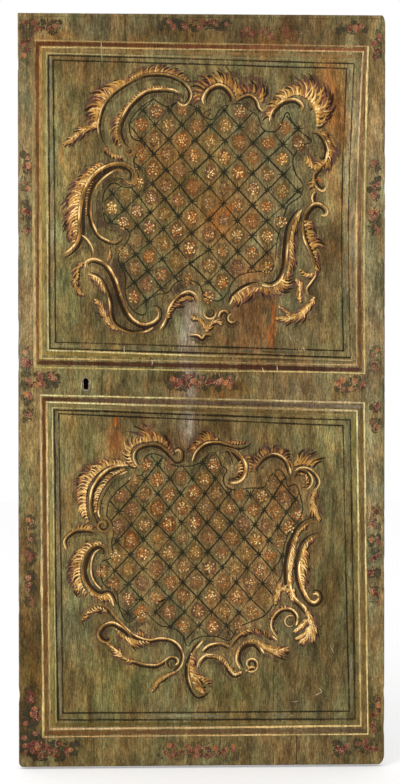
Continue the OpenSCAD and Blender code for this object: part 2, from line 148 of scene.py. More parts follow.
# Colour of the ground, before its fine streaks. Each entry is a soft patch: its middle, its
# two radii, its colour and how strongly it covers.
OLIVE = (0.185, 0.142, 0.058)
GREEN_GREY = (0.205, 0.172, 0.088)
PALE_OLIVE = (0.290, 0.235, 0.100)
BROWN = (0.120, 0.068, 0.026)
RUST = (0.300, 0.110, 0.028)
STAIN_GREY = (0.290, 0.250, 0.212)
PATCHES = [
    (-372, 1600, 40, 330, PALE_OLIVE, 0.45), (-360, 1250, 35, 130, (0.22, 0.20, 0.08), 0.7),
    (-330, 1770, 60, 90, BROWN, 0.45), (-250, 1210, 90, 60, (0.10, 0.085, 0.035), 0.7),
    (-210, 1150, 160, 30, (0.13, 0.095, 0.038), 0.7), (340, 1800, 45, 75, RUST, 0.85),
    (352, 1700, 30, 40, (0.34, 0.13, 0.035), 0.7), (225, 1840, 120, 26, (0.17, 0.115, 0.045), 0.5),
    (-372, 1635, 9, 34, RUST, 0.8), (340, 1330, 60, 170, (0.16, 0.115, 0.05), 0.7),
    (350, 1180, 30, 60, (0.16, 0.15, 0.06), 0.5), (150, 1185, 45, 60, (0.19, 0.080, 0.028), 0.6),
    (186, 1165, 9, 60, (0.40, 0.105, 0.02), 0.9), (60, 1180, 60, 40, (0.14, 0.075, 0.03), 0.6),
    (110, 1130, 70, 24, (0.20, 0.095, 0.036), 0.6), (262, 1160, 80, 60, (0.17, 0.125, 0.06), 0.6),
    (0, 1560, 150, 120, (0.21, 0.11, 0.03), 0.55), (60, 1450, 70, 50, (0.32, 0.11, 0.02), 0.55),
    (150, 1330, 60, 40, (0.30, 0.11, 0.025), 0.5), (-100, 1500, 70, 160, (0.20, 0.11, 0.03), 0.4),
    (190, 1600, 70, 150, (0.17, 0.125, 0.065), 0.5), (-190, 1300, 60, 80, (0.14, 0.10, 0.045), 0.5),
    (-440, 1960, 60, 40, (0.15, 0.10, 0.05), 0.5), (-260, 1965, 70, 40, (0.18, 0.145, 0.08), 0.6),
    (-30, 1965, 200, 35, (0.10, 0.062, 0.028), 0.6), (250, 1960, 150, 45, (0.12, 0.06, 0.028), 0.7),
    (440, 1960, 40, 40, (0.22, 0.17, 0.08), 0.6), (180, 1930, 60, 25, (0.22, 0.085, 0.025), 0.5),
    (465, 1700, 25, 330, (0.225, 0.19, 0.095), 0.7), (-468, 1700, 22, 300, (0.20, 0.165, 0.095), 0.6),
    (-468, 1250, 24, 230, (0.30, 0.235, 0.12), 0.6), (-468, 800, 26, 180, (0.31, 0.235, 0.10), 0.6),
    (-465, 560, 26, 90, (0.18, 0.115, 0.045), 0.6), (-462, 250, 40, 240, (0.105, 0.058, 0.019), 0.85),
    (-200, 1025, 160, 30, (0.19, 0.135, 0.055), 0.6), (-360, 1040, 90, 22, (0.24, 0.20, 0.085), 0.6),
    (20, 1010, 110, 30, (0.20, 0.12, 0.05), 0.6), (280, 1015, 90, 34, (0.26, 0.175, 0.085), 0.6),
    (80, 985, 60, 16, (0.28, 0.13, 0.03), 0.6), (420, 1010, 60, 40, (0.21, 0.165, 0.07), 0.5),
    (-330, 880, 60, 70, (0.265, 0.20, 0.072), 0.7), (-200, 900, 70, 45, (0.20, 0.135, 0.055), 0.6),
    (-225, 880, 22, 50, (0.30, 0.10, 0.025), 0.55), (100, 900, 150, 35, (0.13, 0.09, 0.038), 0.6),
    (270, 870, 90, 60, (0.15, 0.11, 0.045), 0.6), (345, 600, 45, 260, (0.155, 0.12, 0.048), 0.7),
    (330, 300, 70, 140, (0.10, 0.075, 0.030), 0.75), (180, 230, 90, 60, (0.115, 0.09, 0.035), 0.7),
    (-330, 560, 40, 260, (0.19, 0.165, 0.072), 0.55), (-350, 730, 25, 60, (0.14, 0.115, 0.055), 0.6),
    (-230, 230, 120, 80, (0.175, 0.150, 0.052), 0.7), (-60, 200, 70, 50, (0.19, 0.155, 0.065), 0.5),
    (60, 190, 80, 40, (0.16, 0.135, 0.045), 0.6), (0, 600, 170, 150, (0.235, 0.145, 0.060), 0.5),
    (-160, 640, 90, 110, (0.19, 0.125, 0.038), 0.5), (-180, 460, 70, 70, (0.200, 0.165, 0.075), 0.6),
    (130, 560, 90, 110, (0.255, 0.145, 0.058), 0.5), (200, 740, 70, 60, (0.23, 0.10, 0.03), 0.6),
    (-40, 60, 220, 40, (0.20, 0.155, 0.062), 0.5), (-250, 45, 150, 40, (0.165, 0.125, 0.05), 0.6),
    (250, 40, 150, 40, (0.19, 0.13, 0.06), 0.5), (430, 45, 60, 45, (0.13, 0.09, 0.045), 0.6),
    (465, 600, 22, 300, (0.25, 0.205, 0.105), 0.6), (465, 200, 22, 120, (0.17, 0.13, 0.05), 0.5),
    (-350, 1780, 46, 60, (0.145, 0.108, 0.042), 0.7), (466, 1000, 26, 900, (0.29, 0.235, 0.125), 0.40),
    (-374, 1550, 28, 110, (0.37, 0.275, 0.105), 0.85), (-355, 1852, 50, 24, (0.165, 0.105, 0.03), 0.75),
    (-290, 1865, 60, 22, (0.115, 0.07, 0.03), 0.8), (348, 1810, 34, 60, (0.30, 0.150, 0.052), 0.85),
    (352, 1690, 28, 60, (0.32, 0.17, 0.06), 0.8), (355, 1530, 26, 62, (0.42, 0.27, 0.11), 0.9),
    (350, 1350, 34, 80, (0.13, 0.08, 0.032), 0.85), (462, 1740, 22, 140, (0.28, 0.205, 0.095), 0.75),
    (462, 1350, 22, 140, (0.245, 0.20, 0.105), 0.75), (466, 1180, 22, 52, (0.33, 0.26, 0.145), 0.85),
    (465, 350, 22, 110, (0.28, 0.22, 0.105), 0.85), (465, 150, 20, 50, (0.20, 0.13, 0.045), 0.75),
    (-460, 230, 26, 60, (0.155, 0.095, 0.028), 0.85), (-90, 1030, 45, 25, (0.09, 0.058, 0.020), 0.9),
    (85, 1015, 42, 26, (0.10, 0.045, 0.012), 0.9), (250, 1015, 72, 30, (0.17, 0.12, 0.062), 0.8),
    (-60, 1940, 90, 22, (0.145, 0.083, 0.025), 0.8), (190, 1940, 72, 22, (0.15, 0.075, 0.026), 0.8),
    (335, 875, 46, 46, (0.30, 0.245, 0.105), 0.9), (10, 885, 46, 40, (0.085, 0.045, 0.015), 0.85),
    (160, 895, 52, 24, (0.20, 0.135, 0.050), 0.6), (-200, 48, 82, 30, (0.225, 0.165, 0.068), 0.85),
    (200, 48, 82, 30, (0.225, 0.16, 0.072), 0.85), (-340, 660, 46, 90, (0.25, 0.175, 0.066), 0.6),
    (335, 480, 42, 72, (0.12, 0.088, 0.032), 0.75), (-462, 1200, 18, 62, (0.26, 0.21, 0.12), 0.75),
    (-372, 1380, 30, 330, (0.200, 0.185, 0.080), 0.35), (-15, 600, 200, 230, (0.235, 0.160, 0.070), 0.35),
    (120, 1215, 60, 40, (0.12, 0.06, 0.025), 0.7), (-215, 1270, 40, 60, (0.10, 0.065, 0.035), 0.65),
    (-120, 1930, 130, 20, (0.140, 0.085, 0.031), 0.85), (50, 947, 250, 16, (0.135, 0.090, 0.033), 0.85),
    (-15, 992, 80, 18, (0.145, 0.090, 0.032), 0.85), (150, 1070, 110, 30, (0.175, 0.105, 0.040), 0.8),
    (397, 1620, 14, 260, (0.44, 0.33, 0.18), 0.9), (400, 1350, 14, 150, (0.29, 0.215, 0.115), 0.7),
    (-420, 1450, 14, 240, (0.36, 0.27, 0.125), 0.7), (-388, 1650, 12, 230, (0.29, 0.27, 0.12), 0.6),
    (-280, 1850, 90, 34, (0.120, 0.083, 0.033), 0.85), (-150, 1640, 26, 50, (0.16, 0.092, 0.035), 0.7),
    (-361, 190, 30, 60, (0.115, 0.090, 0.036), 0.85), (-60, 860, 80, 40, (0.115, 0.068, 0.026), 0.85),
    (-465, 22, 22, 16, (0.07, 0.045, 0.023), 0.85), (-465, 1090, 18, 20, (0.46, 0.35, 0.21), 0.85),
    (-400, 1930, 60, 20, (0.20, 0.120, 0.046), 0.8), (457, 1600, 22, 110, (0.34, 0.27, 0.155), 0.7),
    (457, 1060, 24, 50, (0.32, 0.26, 0.135), 0.85), (330, 1310, 36, 36, (0.23, 0.160, 0.076), 0.7),
    (110, 440, 100, 110, (0.28, 0.175, 0.080), 0.6), (265, 600, 30, 90, (0.20, 0.14, 0.06), 0.5),
    (-350, 1840, 80, 60, (0.15, 0.105, 0.045), 0.36), (-100, 1925, 200, 26, (0.13, 0.085, 0.034), 0.36),
    (60, 1845, 70, 60, (0.15, 0.10, 0.035), 0.36), (-160, 962, 90, 24, (0.13, 0.085, 0.032), 0.40),
    (-384, 1560, 20, 130, (0.17, 0.13, 0.060), 0.30), (440, 1300, 26, 200, (0.30, 0.25, 0.15), 0.40),
    (452, 700, 22, 260, (0.28, 0.23, 0.14), 0.40), (448, 1062, 24, 60, (0.30, 0.25, 0.17), 0.45),
    (-150, 1100, 60, 50, (0.15, 0.105, 0.040), 0.34), (400, 1020, 60, 40, (0.26, 0.19, 0.10), 0.40),
]
# The stain of water that ran down from the middle of the upper panel
STAIN_X, STAIN_FOOT, STAIN_HEAD = -36, 815, 1300
STAIN_HALF_WIDTH, STAIN_STRENGTH = 23, 0.92
# Old varnish takes most from the blue and nothing from the red
VARNISH = np.array([1.00, 0.92, 0.84])


def ground_tone(x, z):
    """Colour of the olive ground at x, z: the base varied by slow noise, then each soft patch
    laid over it with the weight strength * exp(-(distance in radii)^2), then the water stain."""
    wander = 26 * (soft_noise(x, z, 45, 120, 11) - 0.5)
    slow = soft_noise(x, z, 110, 420, 12)[:, None]
    quick = soft_noise(x, z, 14, 110, 13)[:, None]
    tone = np.array(OLIVE) * (1 - slow) + np.array(GREEN_GREY) * slow
    tone = tone * (0.78 + 0.44 * quick)
    for px, pz, rx, rz, colour, strength in PATCHES:
        reach = ((x - px + wander) / rx) ** 2 + ((z - pz + 2 * wander) / rz) ** 2
        weight = (strength * np.exp(-0.7 * reach ** 1.4))[:, None]
        tone = tone * (1 - weight) + np.array(colour) * weight * (0.8 + 0.4 * quick)
    down = smooth(STAIN_FOOT, STAIN_FOOT + 120, z) * (1 - smooth(STAIN_HEAD - 90, STAIN_HEAD, z))
    side = np.exp(-((x - STAIN_X + 0.5 * wander) / STAIN_HALF_WIDTH) ** 2)
    weight = (STAIN_STRENGTH * down * side * (0.62 + 0.6 * soft_noise(x, z, 8, 70, 14)))[:, None]
    tone = tone * (1 - weight) + np.array(STAIN_GREY) * weight
    return tone * VARNISH


def corner_worn(wide, high, away):
    """How far a leaf's corner is worn in, at a distance from its end: a quarter ellipse."""
    return wide * (1 - np.sqrt(1 - np.clip(1 - away / high, 0, 1) ** 2))


def worn_board(number):
    """One board as a closed block whose faces are pushed in: the front follows face_at and
    rounds off at its arrises as a quarter circle, the sides wander, the leaf's corners are
    quarter ellipses, and each split is a V that narrows to nothing away from its end."""
    left, right = board_left[number], board_right[number]
    left, right = left - JOINT_SWELL * (number > 0), right + JOINT_SWELL * (number < 3)
    splits = [s for s in SPLITS if s[0] == number]
    xs = spaced(left, right, 6, (0.4, 1.2, 2.6), [s[1] for s in splits])
    zs = spaced(0, leaf_top, 9, (0.5, 1.5, 4))
    ys = np.array([0, 0.1, 0.35, 0.65, 0.9, 1])
    i, j, k, quads = box_grid(len(xs) - 1, len(ys) - 1, len(zs) - 1)
    x, z, depth = xs[i], zs[k], ys[j]
    from_left, from_right = x - left, right - x
    outer_left, outer_right = number == 0, number == 3
    round_left, round_right = (2.4 if outer_left else 0.5), (2.4 if outer_right else 0.5)
    drop = np.zeros_like(x)
    for away, r in ((from_left, round_left), (from_right, round_right), (leaf_top - z, 2.0), (z, 2.0)):
        inside = np.clip(r - away, 0, r)
        drop = np.maximum(drop, r - np.sqrt(r * r - inside * inside))
    for _, split_x, end, length, wide in splits:
        along = (z if end == "foot" else leaf_top - z) / length
        half = wide / 2 * np.clip(1 - along, 0, 1) ** 0.7 + 1e-6
        drop += 5.0 * np.clip(1 - np.abs(x - split_x) / (half + 0.6), 0, 1) * (along < 1)
    front = np.clip(face_at(x, z) + drop, leaf_low.y, 0)
    sawn = 0.25 * soft_noise(x, z, 40, 7, 21 + number) + 0.35 * soft_noise(x, z, 30, 400, 22)
    rear = back_y - sawn - np.maximum(0, 1.2 - np.minimum(from_left, from_right)) * 0.6
    y = front * (1 - depth) + rear * depth
    nick_left = 0.5 * soft_noise(z, y, 25, 9, 31 + number)
    nick_right = 0.5 * soft_noise(z, y, 25, 9, 41 + number)
    if outer_left:
        nick_left += 2.2 * smooth(0.62, 0.95, soft_noise(z, y, 38, 14, 51))
        nick_left += corner_worn(12, 12, z)
    if outer_right:
        nick_right += 1.4 * smooth(0.66, 0.95, soft_noise(z, y, 32, 14, 52))
        nick_right += corner_worn(10, 26, leaf_top - z)
        nick_right += corner_worn(17, 27, z)
    width = right - left
    x = x + nick_left * (1 - from_left / width) - nick_right * (1 - from_right / width)
    top_dip = 0.9 * soft_noise(x, y, 16, 12, 61) * (k == k.max())
    foot_rise = 1.6 * soft_noise(x, y, 12, 12, 62) * (k == 0)
    z = z - top_dip + foot_rise
    points = np.stack([x, y, z], 1)
    return points, quads, (i, j, k, xs, zs, drop)


TONGUE_FRONT, TONGUE_BACK = -7.0, 1.0    # its two faces along Y
TONGUE_ROOT, TONGUE_REACH = 0.4, 7       # how far it goes into its own board and into the next
TONGUE_END = 1.5                         # how far it stops short of the leaf's ends


def board_tongue(number):
    """The tongue along a board's right edge, a plain bar that lies in the next board's groove."""
    right = board_right[number]
    corner = [[x, y, z] for x in (right - TONGUE_ROOT, right + TONGUE_REACH)
              for y in (TONGUE_FRONT, TONGUE_BACK) for z in (TONGUE_END, leaf_top - TONGUE_END)]
    faces = [[0, 1, 3, 2], [4, 6, 7, 5], [0, 4, 5, 1], [2, 3, 7, 6], [0, 2, 6, 4], [1, 5, 7, 3]]
    return make_mesh("tongue_" + BOARD_NODES[number], corner, faces, False)


# How much greyer or darker than its neighbours each board's bare wood has gone
BOARD_SHADES = np.array([(1.10, 1.02, 0.94), (0.80, 0.78, 0.76), (1.02, 1.05, 1.06), (0.90, 0.82, 0.74)])
boards = []
tongues = [board_tongue(number) for number in range(3)]
for number, node in enumerate(BOARD_NODES):
    points, quads, (i, j, k, xs, zs, drop) = worn_board(number)
    board = make_mesh("worn_" + node, points, quads)
    x, y, z = points.T
    tone = ground_tone(x, z)
    on_front = j == 0
    hollow = np.clip(drop / 2.5, 0, 1)
    edge_near = np.minimum(np.minimum(x - leaf_low.x, leaf_high.x - x), np.minimum(z, leaf_top - z))
    chips = 0.55 * smooth(7, 0, edge_near) + 0.5 * hollow
    bare = np.where(on_front, np.clip(chips, 0, 1), 1.0)
    colour_layer(board, "tone", np.concatenate([tone, bare[:, None]], 1))
    # On the back each board is painted darker towards its two long edges, down to four tenths at the edge:
    # painted shade in the joints between the boards, which the leaf's outer edges get as well.
    beside_joint = np.minimum(xs[i] - xs[0], xs[-1] - xs[i])
    painted_joint_shade = 0.40 + 0.60 * smooth(0.5, 7.0, beside_joint)
    shade = BOARD_SHADES[number] * np.where(on_front, 1.0, painted_joint_shade)[:, None]
    colour_layer(board, "shade", np.column_stack([shade, np.ones(len(shade))]))
    boards.append(board)

# The keyhole is sawn and drilled through the lock board; the three dovetail housings run out
# through the lock edge, where their open ends show.


def cut(board, name, outline, axis, low, high):
    """Cuts a prism out of a board: an outline in x and z pushed along Y, or in y and z along X."""
    count = len(outline)
    place = (lambda a, b, c: (a, c, b)) if axis == "Y" else (lambda a, b, c: (c, a, b))
    points = [place(a, b, c) for c in (low, high) for a, b in outline]
    faces = [list(range(count)), list(range(2 * count - 1, count - 1, -1))]
    faces += [[k, count + k, count + (k + 1) % count, (k + 1) % count] for k in range(count)]
    cutter = make_mesh(name, points, faces, False)
    shape = bmesh.new()
    shape.from_mesh(cutter.data)
    bmesh.ops.recalc_face_normals(shape, faces=shape.faces)
    shape.to_mesh(cutter.data)
    shape.free()
    cutting = board.modifiers.new("cut", "BOOLEAN")
    cutting.operation, cutting.solver, cutting.object = "DIFFERENCE", "EXACT", cutter
    solid = board.evaluated_get(bpy.context.evaluated_depsgraph_get())
    board.data = bpy.data.meshes.new_from_object(solid)
    board.modifiers.clear()
    bpy.data.objects.remove(cutter)


KEY_X, KEY_TOP, KEY_FOOT = -308.5, 1027, 1011
KEY_TOP_R, KEY_FOOT_R = 8.6, 8.4
half_turn = np.radians(np.linspace(0, 180, 13))
key_outline = [(KEY_X + KEY_TOP_R * np.cos(a), KEY_TOP + KEY_TOP_R * np.sin(a)) for a in half_turn]
key_outline += [(KEY_X - KEY_FOOT_R * np.cos(a), KEY_FOOT - KEY_FOOT_R * np.sin(a)) for a in half_turn]
cut(boards[0], "keyhole_cutter", key_outline, "Y", -40, 40)
HOUSING_INNER, HOUSING_OUTER = 40, 32     # half heights of the dovetail, inside and at the back
PAST_BACK, PAST_EDGE = 30, -520           # the cutters go out beyond the board
for batten in ("lower_batten", "middle_batten", "upper_batten"):
    middle_z = 0.5 * (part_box(batten)[0].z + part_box(batten)[1].z) / mm
    inner_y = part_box(batten)[0].y / mm
    end_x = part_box(batten)[0].x / mm
    housing = [(inner_y, middle_z - HOUSING_INNER), (PAST_BACK, middle_z - HOUSING_OUTER),
               (PAST_BACK, middle_z + HOUSING_OUTER), (inner_y, middle_z + HOUSING_INNER)]
    cut(boards[0], "housing_cutter", housing, "X", PAST_EDGE, end_x)


def node_in(tree, kind, inputs=None, **settings):
    """Adds a shader node; each input takes a value or another node's output socket."""
    node = tree.nodes.new(kind)
    for key, value in settings.items():
        setattr(node, key, value)
    for socket, value in (inputs or {}).items():
        if isinstance(value, bpy.types.NodeSocket):
            tree.links.new(value, node.inputs[socket])
        else:
            node.inputs[socket].default_value = value
    return node


def new_group(name, takes, gives):
    """An empty node group with named inputs, each with a default, and named outputs."""
    tree = bpy.data.node_groups.new(name, "ShaderNodeTree")
    kinds = {float: "NodeSocketFloat", tuple: "NodeSocketColor", str: "NodeSocketVector"}
    for label, default in takes.items():
        socket = tree.interface.new_socket(name=label, in_out="INPUT", socket_type=kinds[type(default)])
        if not isinstance(default, str):
            socket.default_value = default if isinstance(default, float) else (*default, 1.0)
    for label, kind in gives.items():
        tree.interface.new_socket(name=label, in_out="OUTPUT", socket_type=kinds[kind])
    return tree, tree.nodes.new("NodeGroupInput").outputs, tree.nodes.new("NodeGroupOutput")


def streak_noise(tree, place, scale, detail=3.0, roughness=0.55):
    """Noise whose cells are scale[0], scale[1] and scale[2] per metre along X, Y and Z."""
    turned = node_in(tree, "ShaderNodeMapping", {"Vector": place, "Scale": scale})
    return node_in(tree, "ShaderNodeTexNoise", {"Vector": turned.outputs[0], "Scale": 1.0, "Detail": detail,
                                                "Roughness": roughness}).outputs[0]


def between(tree, value, low, high, to_low=0.0, to_high=1.0):
    """Value mapped smoothly from low..high to to_low..to_high."""
    return node_in(tree, "ShaderNodeMapRange", {"Value": value, "From Min": low, "From Max": high,
                                                "To Min": to_low, "To Max": to_high},
                   interpolation_type="SMOOTHSTEP").outputs[0]


def mixed(tree, factor, a, b, mode="MIX"):
    """Colour a with colour b laid over it by a factor."""
    mix = tree.nodes.new("ShaderNodeMix")
    mix.data_type, mix.blend_type = "RGBA", mode
    for socket, value in ((mix.inputs[0], factor), (mix.inputs[6], a), (mix.inputs[7], b)):
        if isinstance(value, bpy.types.NodeSocket):
            tree.links.new(value, socket)
        else:
            socket.default_value = value if isinstance(value, (float, int)) else (*value, 1.0)
    return mix.outputs[2]


def maths(tree, operation, a, b=0.0, c=0.0):
    """One step of arithmetic."""
    return node_in(tree, "ShaderNodeMath", {0: a, 1: b, 2: c}, operation=operation).outputs[0]


# Aged lacquer ground: short upright streaks where the brush and the grain have let the coat
# thin, dark pits, a few rubbed pale flecks and green and brown drift.
ground, given, result = new_group("aged_ground", {"Place": "", "Tone": (0.2, 0.16, 0.07)},
                                  {"Color": tuple, "Height": float, "Roughness": float})
streaks = streak_noise(ground, given["Place"], (380.0, 380.0, 60.0), 4.0, 0.62)
broad = streak_noise(ground, given["Place"], (44.0, 44.0, 13.0), 4.0, 0.6)
specks = streak_noise(ground, given["Place"], (520.0, 520.0, 190.0), 2.0)
drift = streak_noise(ground, given["Place"], (22.0, 22.0, 10.0), 4.0, 0.6)
level = maths(ground, "MULTIPLY", between(ground, streaks, 0.28, 0.74, 0.56, 1.48),
              between(ground, broad, 0.28, 0.74, 0.58, 1.46))
level = maths(ground, "MULTIPLY", level, between(ground, specks, 0.25, 0.75, 0.66, 1.36))
shade = node_in(ground, "ShaderNodeCombineXYZ", {0: level, 1: level, 2: level}).outputs[0]
colour = mixed(ground, 1.0, given["Tone"], shade, "MULTIPLY")
hue = mixed(ground, between(ground, drift, 0.36, 0.66), (1.08, 0.97, 0.84), (0.90, 1.05, 1.02))
colour = mixed(ground, 1.0, colour, hue, "MULTIPLY")
pits = between(ground, streak_noise(ground, given["Place"], (190.0, 190.0, 18.0), 5.0, 0.7), 0.62, 0.74)
colour = mixed(ground, maths(ground, "MULTIPLY", pits, 0.62), colour, (0.050, 0.026, 0.010))
rubbed = between(ground, streak_noise(ground, given["Place"], (330.0, 330.0, 34.0), 4.0, 0.7), 0.64, 0.76)
colour = mixed(ground, maths(ground, "MULTIPLY", rubbed, 0.55), colour, (0.47, 0.38, 0.23))
height = maths(ground, "ADD", maths(ground, "MULTIPLY", streaks, 0.7), maths(ground, "MULTIPLY", pits, -0.5))
for socket, value in (("Color", colour), ("Height", height),
                      ("Roughness", between(ground, streaks, 0.3, 0.7, 0.62, 0.46))):
    ground.links.new(value, result.inputs[socket])

# Bare softwood that has gone grey and brown: rings that run with the grain, and dirt in them
timber, given, result = new_group("bare_timber", {"Place": "", "Pale": (0.33, 0.24, 0.15),
                                                  "Dark": (0.13, 0.085, 0.05)},
                                  {"Color": tuple, "Height": float})
warp = node_in(timber, "ShaderNodeVectorMath", {0: given["Place"], 1: (1.0, 1.0, 0.06)}, operation="MULTIPLY")
rings = node_in(timber, "ShaderNodeTexWave", {"Vector": warp.outputs[0], "Scale": 12.0, "Distortion": 17.0,
                                              "Detail": 4.0, "Detail Scale": 1.1}).outputs[1]
fibres = streak_noise(timber, given["Place"], (420.0, 420.0, 12.0), 4.0, 0.65)
dirt = streak_noise(timber, given["Place"], (16.0, 16.0, 6.0), 4.0, 0.6)
grain = maths(timber, "ADD", maths(timber, "MULTIPLY", rings, 0.45), maths(timber, "MULTIPLY", fibres, 0.75))
colour = mixed(timber, between(timber, grain, 0.30, 0.95), given["Dark"], given["Pale"])
colour = mixed(timber, between(timber, dirt, 0.42, 0.68, 0.0, 0.65), colour, (0.10, 0.072, 0.048))
spread = node_in(timber, "ShaderNodeVectorMath", {0: warp.outputs[0], 1: (3.4, 1.5, 24.0)},
                 operation="MULTIPLY")
knots = node_in(timber, "ShaderNodeTexVoronoi",
                {"Vector": spread.outputs[0], "Scale": 1.0}).outputs["Distance"]
colour = mixed(timber, between(timber, knots, 0.03, 0.13, 0.8, 0.0), colour, (0.070, 0.038, 0.020))
timber.links.new(colour, result.inputs["Color"])
timber.links.new(grain, result.inputs["Height"])


def use_group(tree, group, inputs):
    """Places a node group in a material."""
    node = tree.nodes.new("ShaderNodeGroup")
    node.node_tree = group
    for socket, value in inputs.items():
        if isinstance(value, bpy.types.NodeSocket):
            tree.links.new(value, node.inputs[socket])
        else:
            node.inputs[socket].default_value = (*value, 1.0) if isinstance(value, tuple) else value
    return node.outputs


def new_material(name, roughness=0.6, specular=0.35):
    """A material with only a Principled shader, and the object's own coordinates."""
    material = bpy.data.materials.new(name)
    material.use_nodes = True
    tree = material.node_tree
    shader = tree.nodes["Principled BSDF"]
    shader.inputs["Roughness"].default_value = roughness
    shader.inputs["Specular IOR Level"].default_value = specular
    place = tree.nodes.new("ShaderNodeTexCoord").outputs["Object"]
    return material, tree, shader, place


def bumped(tree, shader, height, distance, strength=1.0):
    """Feeds a height, in metres when it is 1, to the shader's normal."""
    bump = node_in(tree, "ShaderNodeBump", {"Height": height, "Distance": distance, "Strength": strength})
    tree.links.new(bump.outputs[0], shader.inputs["Normal"])


board_paint, tree, shader, place = new_material("lacquered_board", specular=0.07)
stored = node_in(tree, "ShaderNodeAttribute", attribute_name="tone")
lacquer = use_group(tree, ground, {"Place": place, "Tone": stored.outputs["Color"]})
wood = use_group(tree, timber, {"Place": place})
shaded_wood = mixed(tree, 1.0, wood["Color"],
                    node_in(tree, "ShaderNodeAttribute", attribute_name="shade").outputs["Color"], "MULTIPLY")
crumbling = maths(tree, "SUBTRACT", streak_noise(tree, place, (150.0, 150.0, 60.0), 4.0, 0.65), 0.5)
ragged = maths(tree, "ADD", stored.outputs["Alpha"], maths(tree, "MULTIPLY", crumbling, 1.1))
chipped = between(tree, ragged, 0.47, 0.53)
tree.links.new(mixed(tree, chipped, lacquer["Color"], shaded_wood), shader.inputs["Base Color"])
tree.links.new(maths(tree, "ADD", lacquer["Roughness"], maths(tree, "MULTIPLY", chipped, 0.25)),
               shader.inputs["Roughness"])
coat = maths(tree, "ADD", maths(tree, "MULTIPLY", lacquer["Height"], maths(tree, "SUBTRACT", 1.0, chipped)),
             maths(tree, "MULTIPLY", wood["Height"], chipped))
bumped(tree, shader, maths(tree, "SUBTRACT", coat, chipped), 0.0004, 0.8)

for board, node in zip(boards, BOARD_NODES):
    board.data.materials.append(board_paint)
    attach(board, "leaf")
    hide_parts(node)
for tongue in tongues:
    colour_layer(tongue, "tone", np.tile([*OLIVE, 1.0], (8, 1)))
    # The tongues show bare wood at half its brightness: painted shade, as they lie deep in the joints.
    colour_layer(tongue, "shade", np.tile([0.5, 0.5, 0.5, 1.0], (8, 1)))
    tongue.data.materials.append(board_paint)
    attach(tongue, "leaf")


# ---------------------------------------------------------------- the painter's strokes
# The decoration is thin oil paint laid over the lacquer with a brush. Every stroke is a low
# domed ribbon lying on the boards, ragged and rubbed through where the paint has worn.

LOWEST_Y = leaf_low.y - 0.35     # nothing of the paint comes farther forward than this
BROAD_STROKE = 9      # a wider stroke has five columns of places across it, a narrower one three
SHADOW = (0.022, 0.011, 0.006)
OCHRE = (0.30, 0.135, 0.032)
GOLD = (0.54, 0.285, 0.070)
CREAM = (0.88, 0.60, 0.25)
REDDISH = (0.26, 0.095, 0.038)
VIOLET_BROWN = (0.095, 0.042, 0.032)
BLACK_GREEN = (0.030, 0.033, 0.022)


def new_layer(seed):
    """An empty set of strokes with its own seeded hand."""
    return {"rng": np.random.default_rng(seed), "xz": [], "lift": [], "tint": [], "under": [],
            "faces": [], "count": 0}


def curve(points, step=3.0):
    """Evenly spaced places on the smooth curve through a few points. Between two points p1 and
    p2 with neighbours p0 and p3 it is the Catmull-Rom cubic
    (2 p1 + (p2 - p0) t + (2 p0 - 5 p1 + 4 p2 - p3) t^2 + (3 p1 - p0 - 3 p2 + p3) t^3) / 2."""
    p = np.asarray(points, float)
    p = np.concatenate([[2 * p[0] - p[1]], p, [2 * p[-1] - p[-2]]])
    t = np.linspace(0, 1, 12, endpoint=False)[:, None]
    bits = []
    for p0, p1, p2, p3 in zip(p[:-3], p[1:-2], p[2:-1], p[3:]):
        bits.append(0.5 * (2 * p1 + (p2 - p0) * t + (2 * p0 - 5 * p1 + 4 * p2 - p3) * t ** 2
                           + (3 * p1 - p0 - 3 * p2 + p3) * t ** 3))
    path = np.concatenate(bits + [p[-2:-1]])
    run = np.concatenate([[0], np.cumsum(np.hypot(*np.diff(path, axis=0).T))])
    even = np.linspace(0, run[-1], max(int(run[-1] / step), 3) + 1)
    return np.stack([np.interp(even, run, path[:, 0]), np.interp(even, run, path[:, 1])], 1)


def sideways(path):
    """The unit direction to the left of a path at each of its places."""
    along = np.gradient(path, axis=0)
    along /= np.hypot(along[:, 0], along[:, 1])[:, None] + 1e-9
    return np.stack([-along[:, 1], along[:, 0]], 1)


def hand(rng, count, reach):
    """Smooth random wandering from -1 to 1 with a new value every reach places."""
    knots = rng.uniform(-1, 1, int(count / reach) + 4)
    return np.interp(np.arange(count) / reach + rng.random(), np.arange(len(knots)), knots)


def add_points(layer, xz, lift, tint, under, faces):
    """Adds places and faces to a layer; colours are rows of red, green, blue and cover."""
    layer["xz"].append(xz)
    layer["lift"].append(lift)
    layer["tint"].append(tint)
    layer["under"].append(under)
    layer["faces"] += (np.asarray(faces) + layer["count"]).tolist()
    layer["count"] += len(xz)


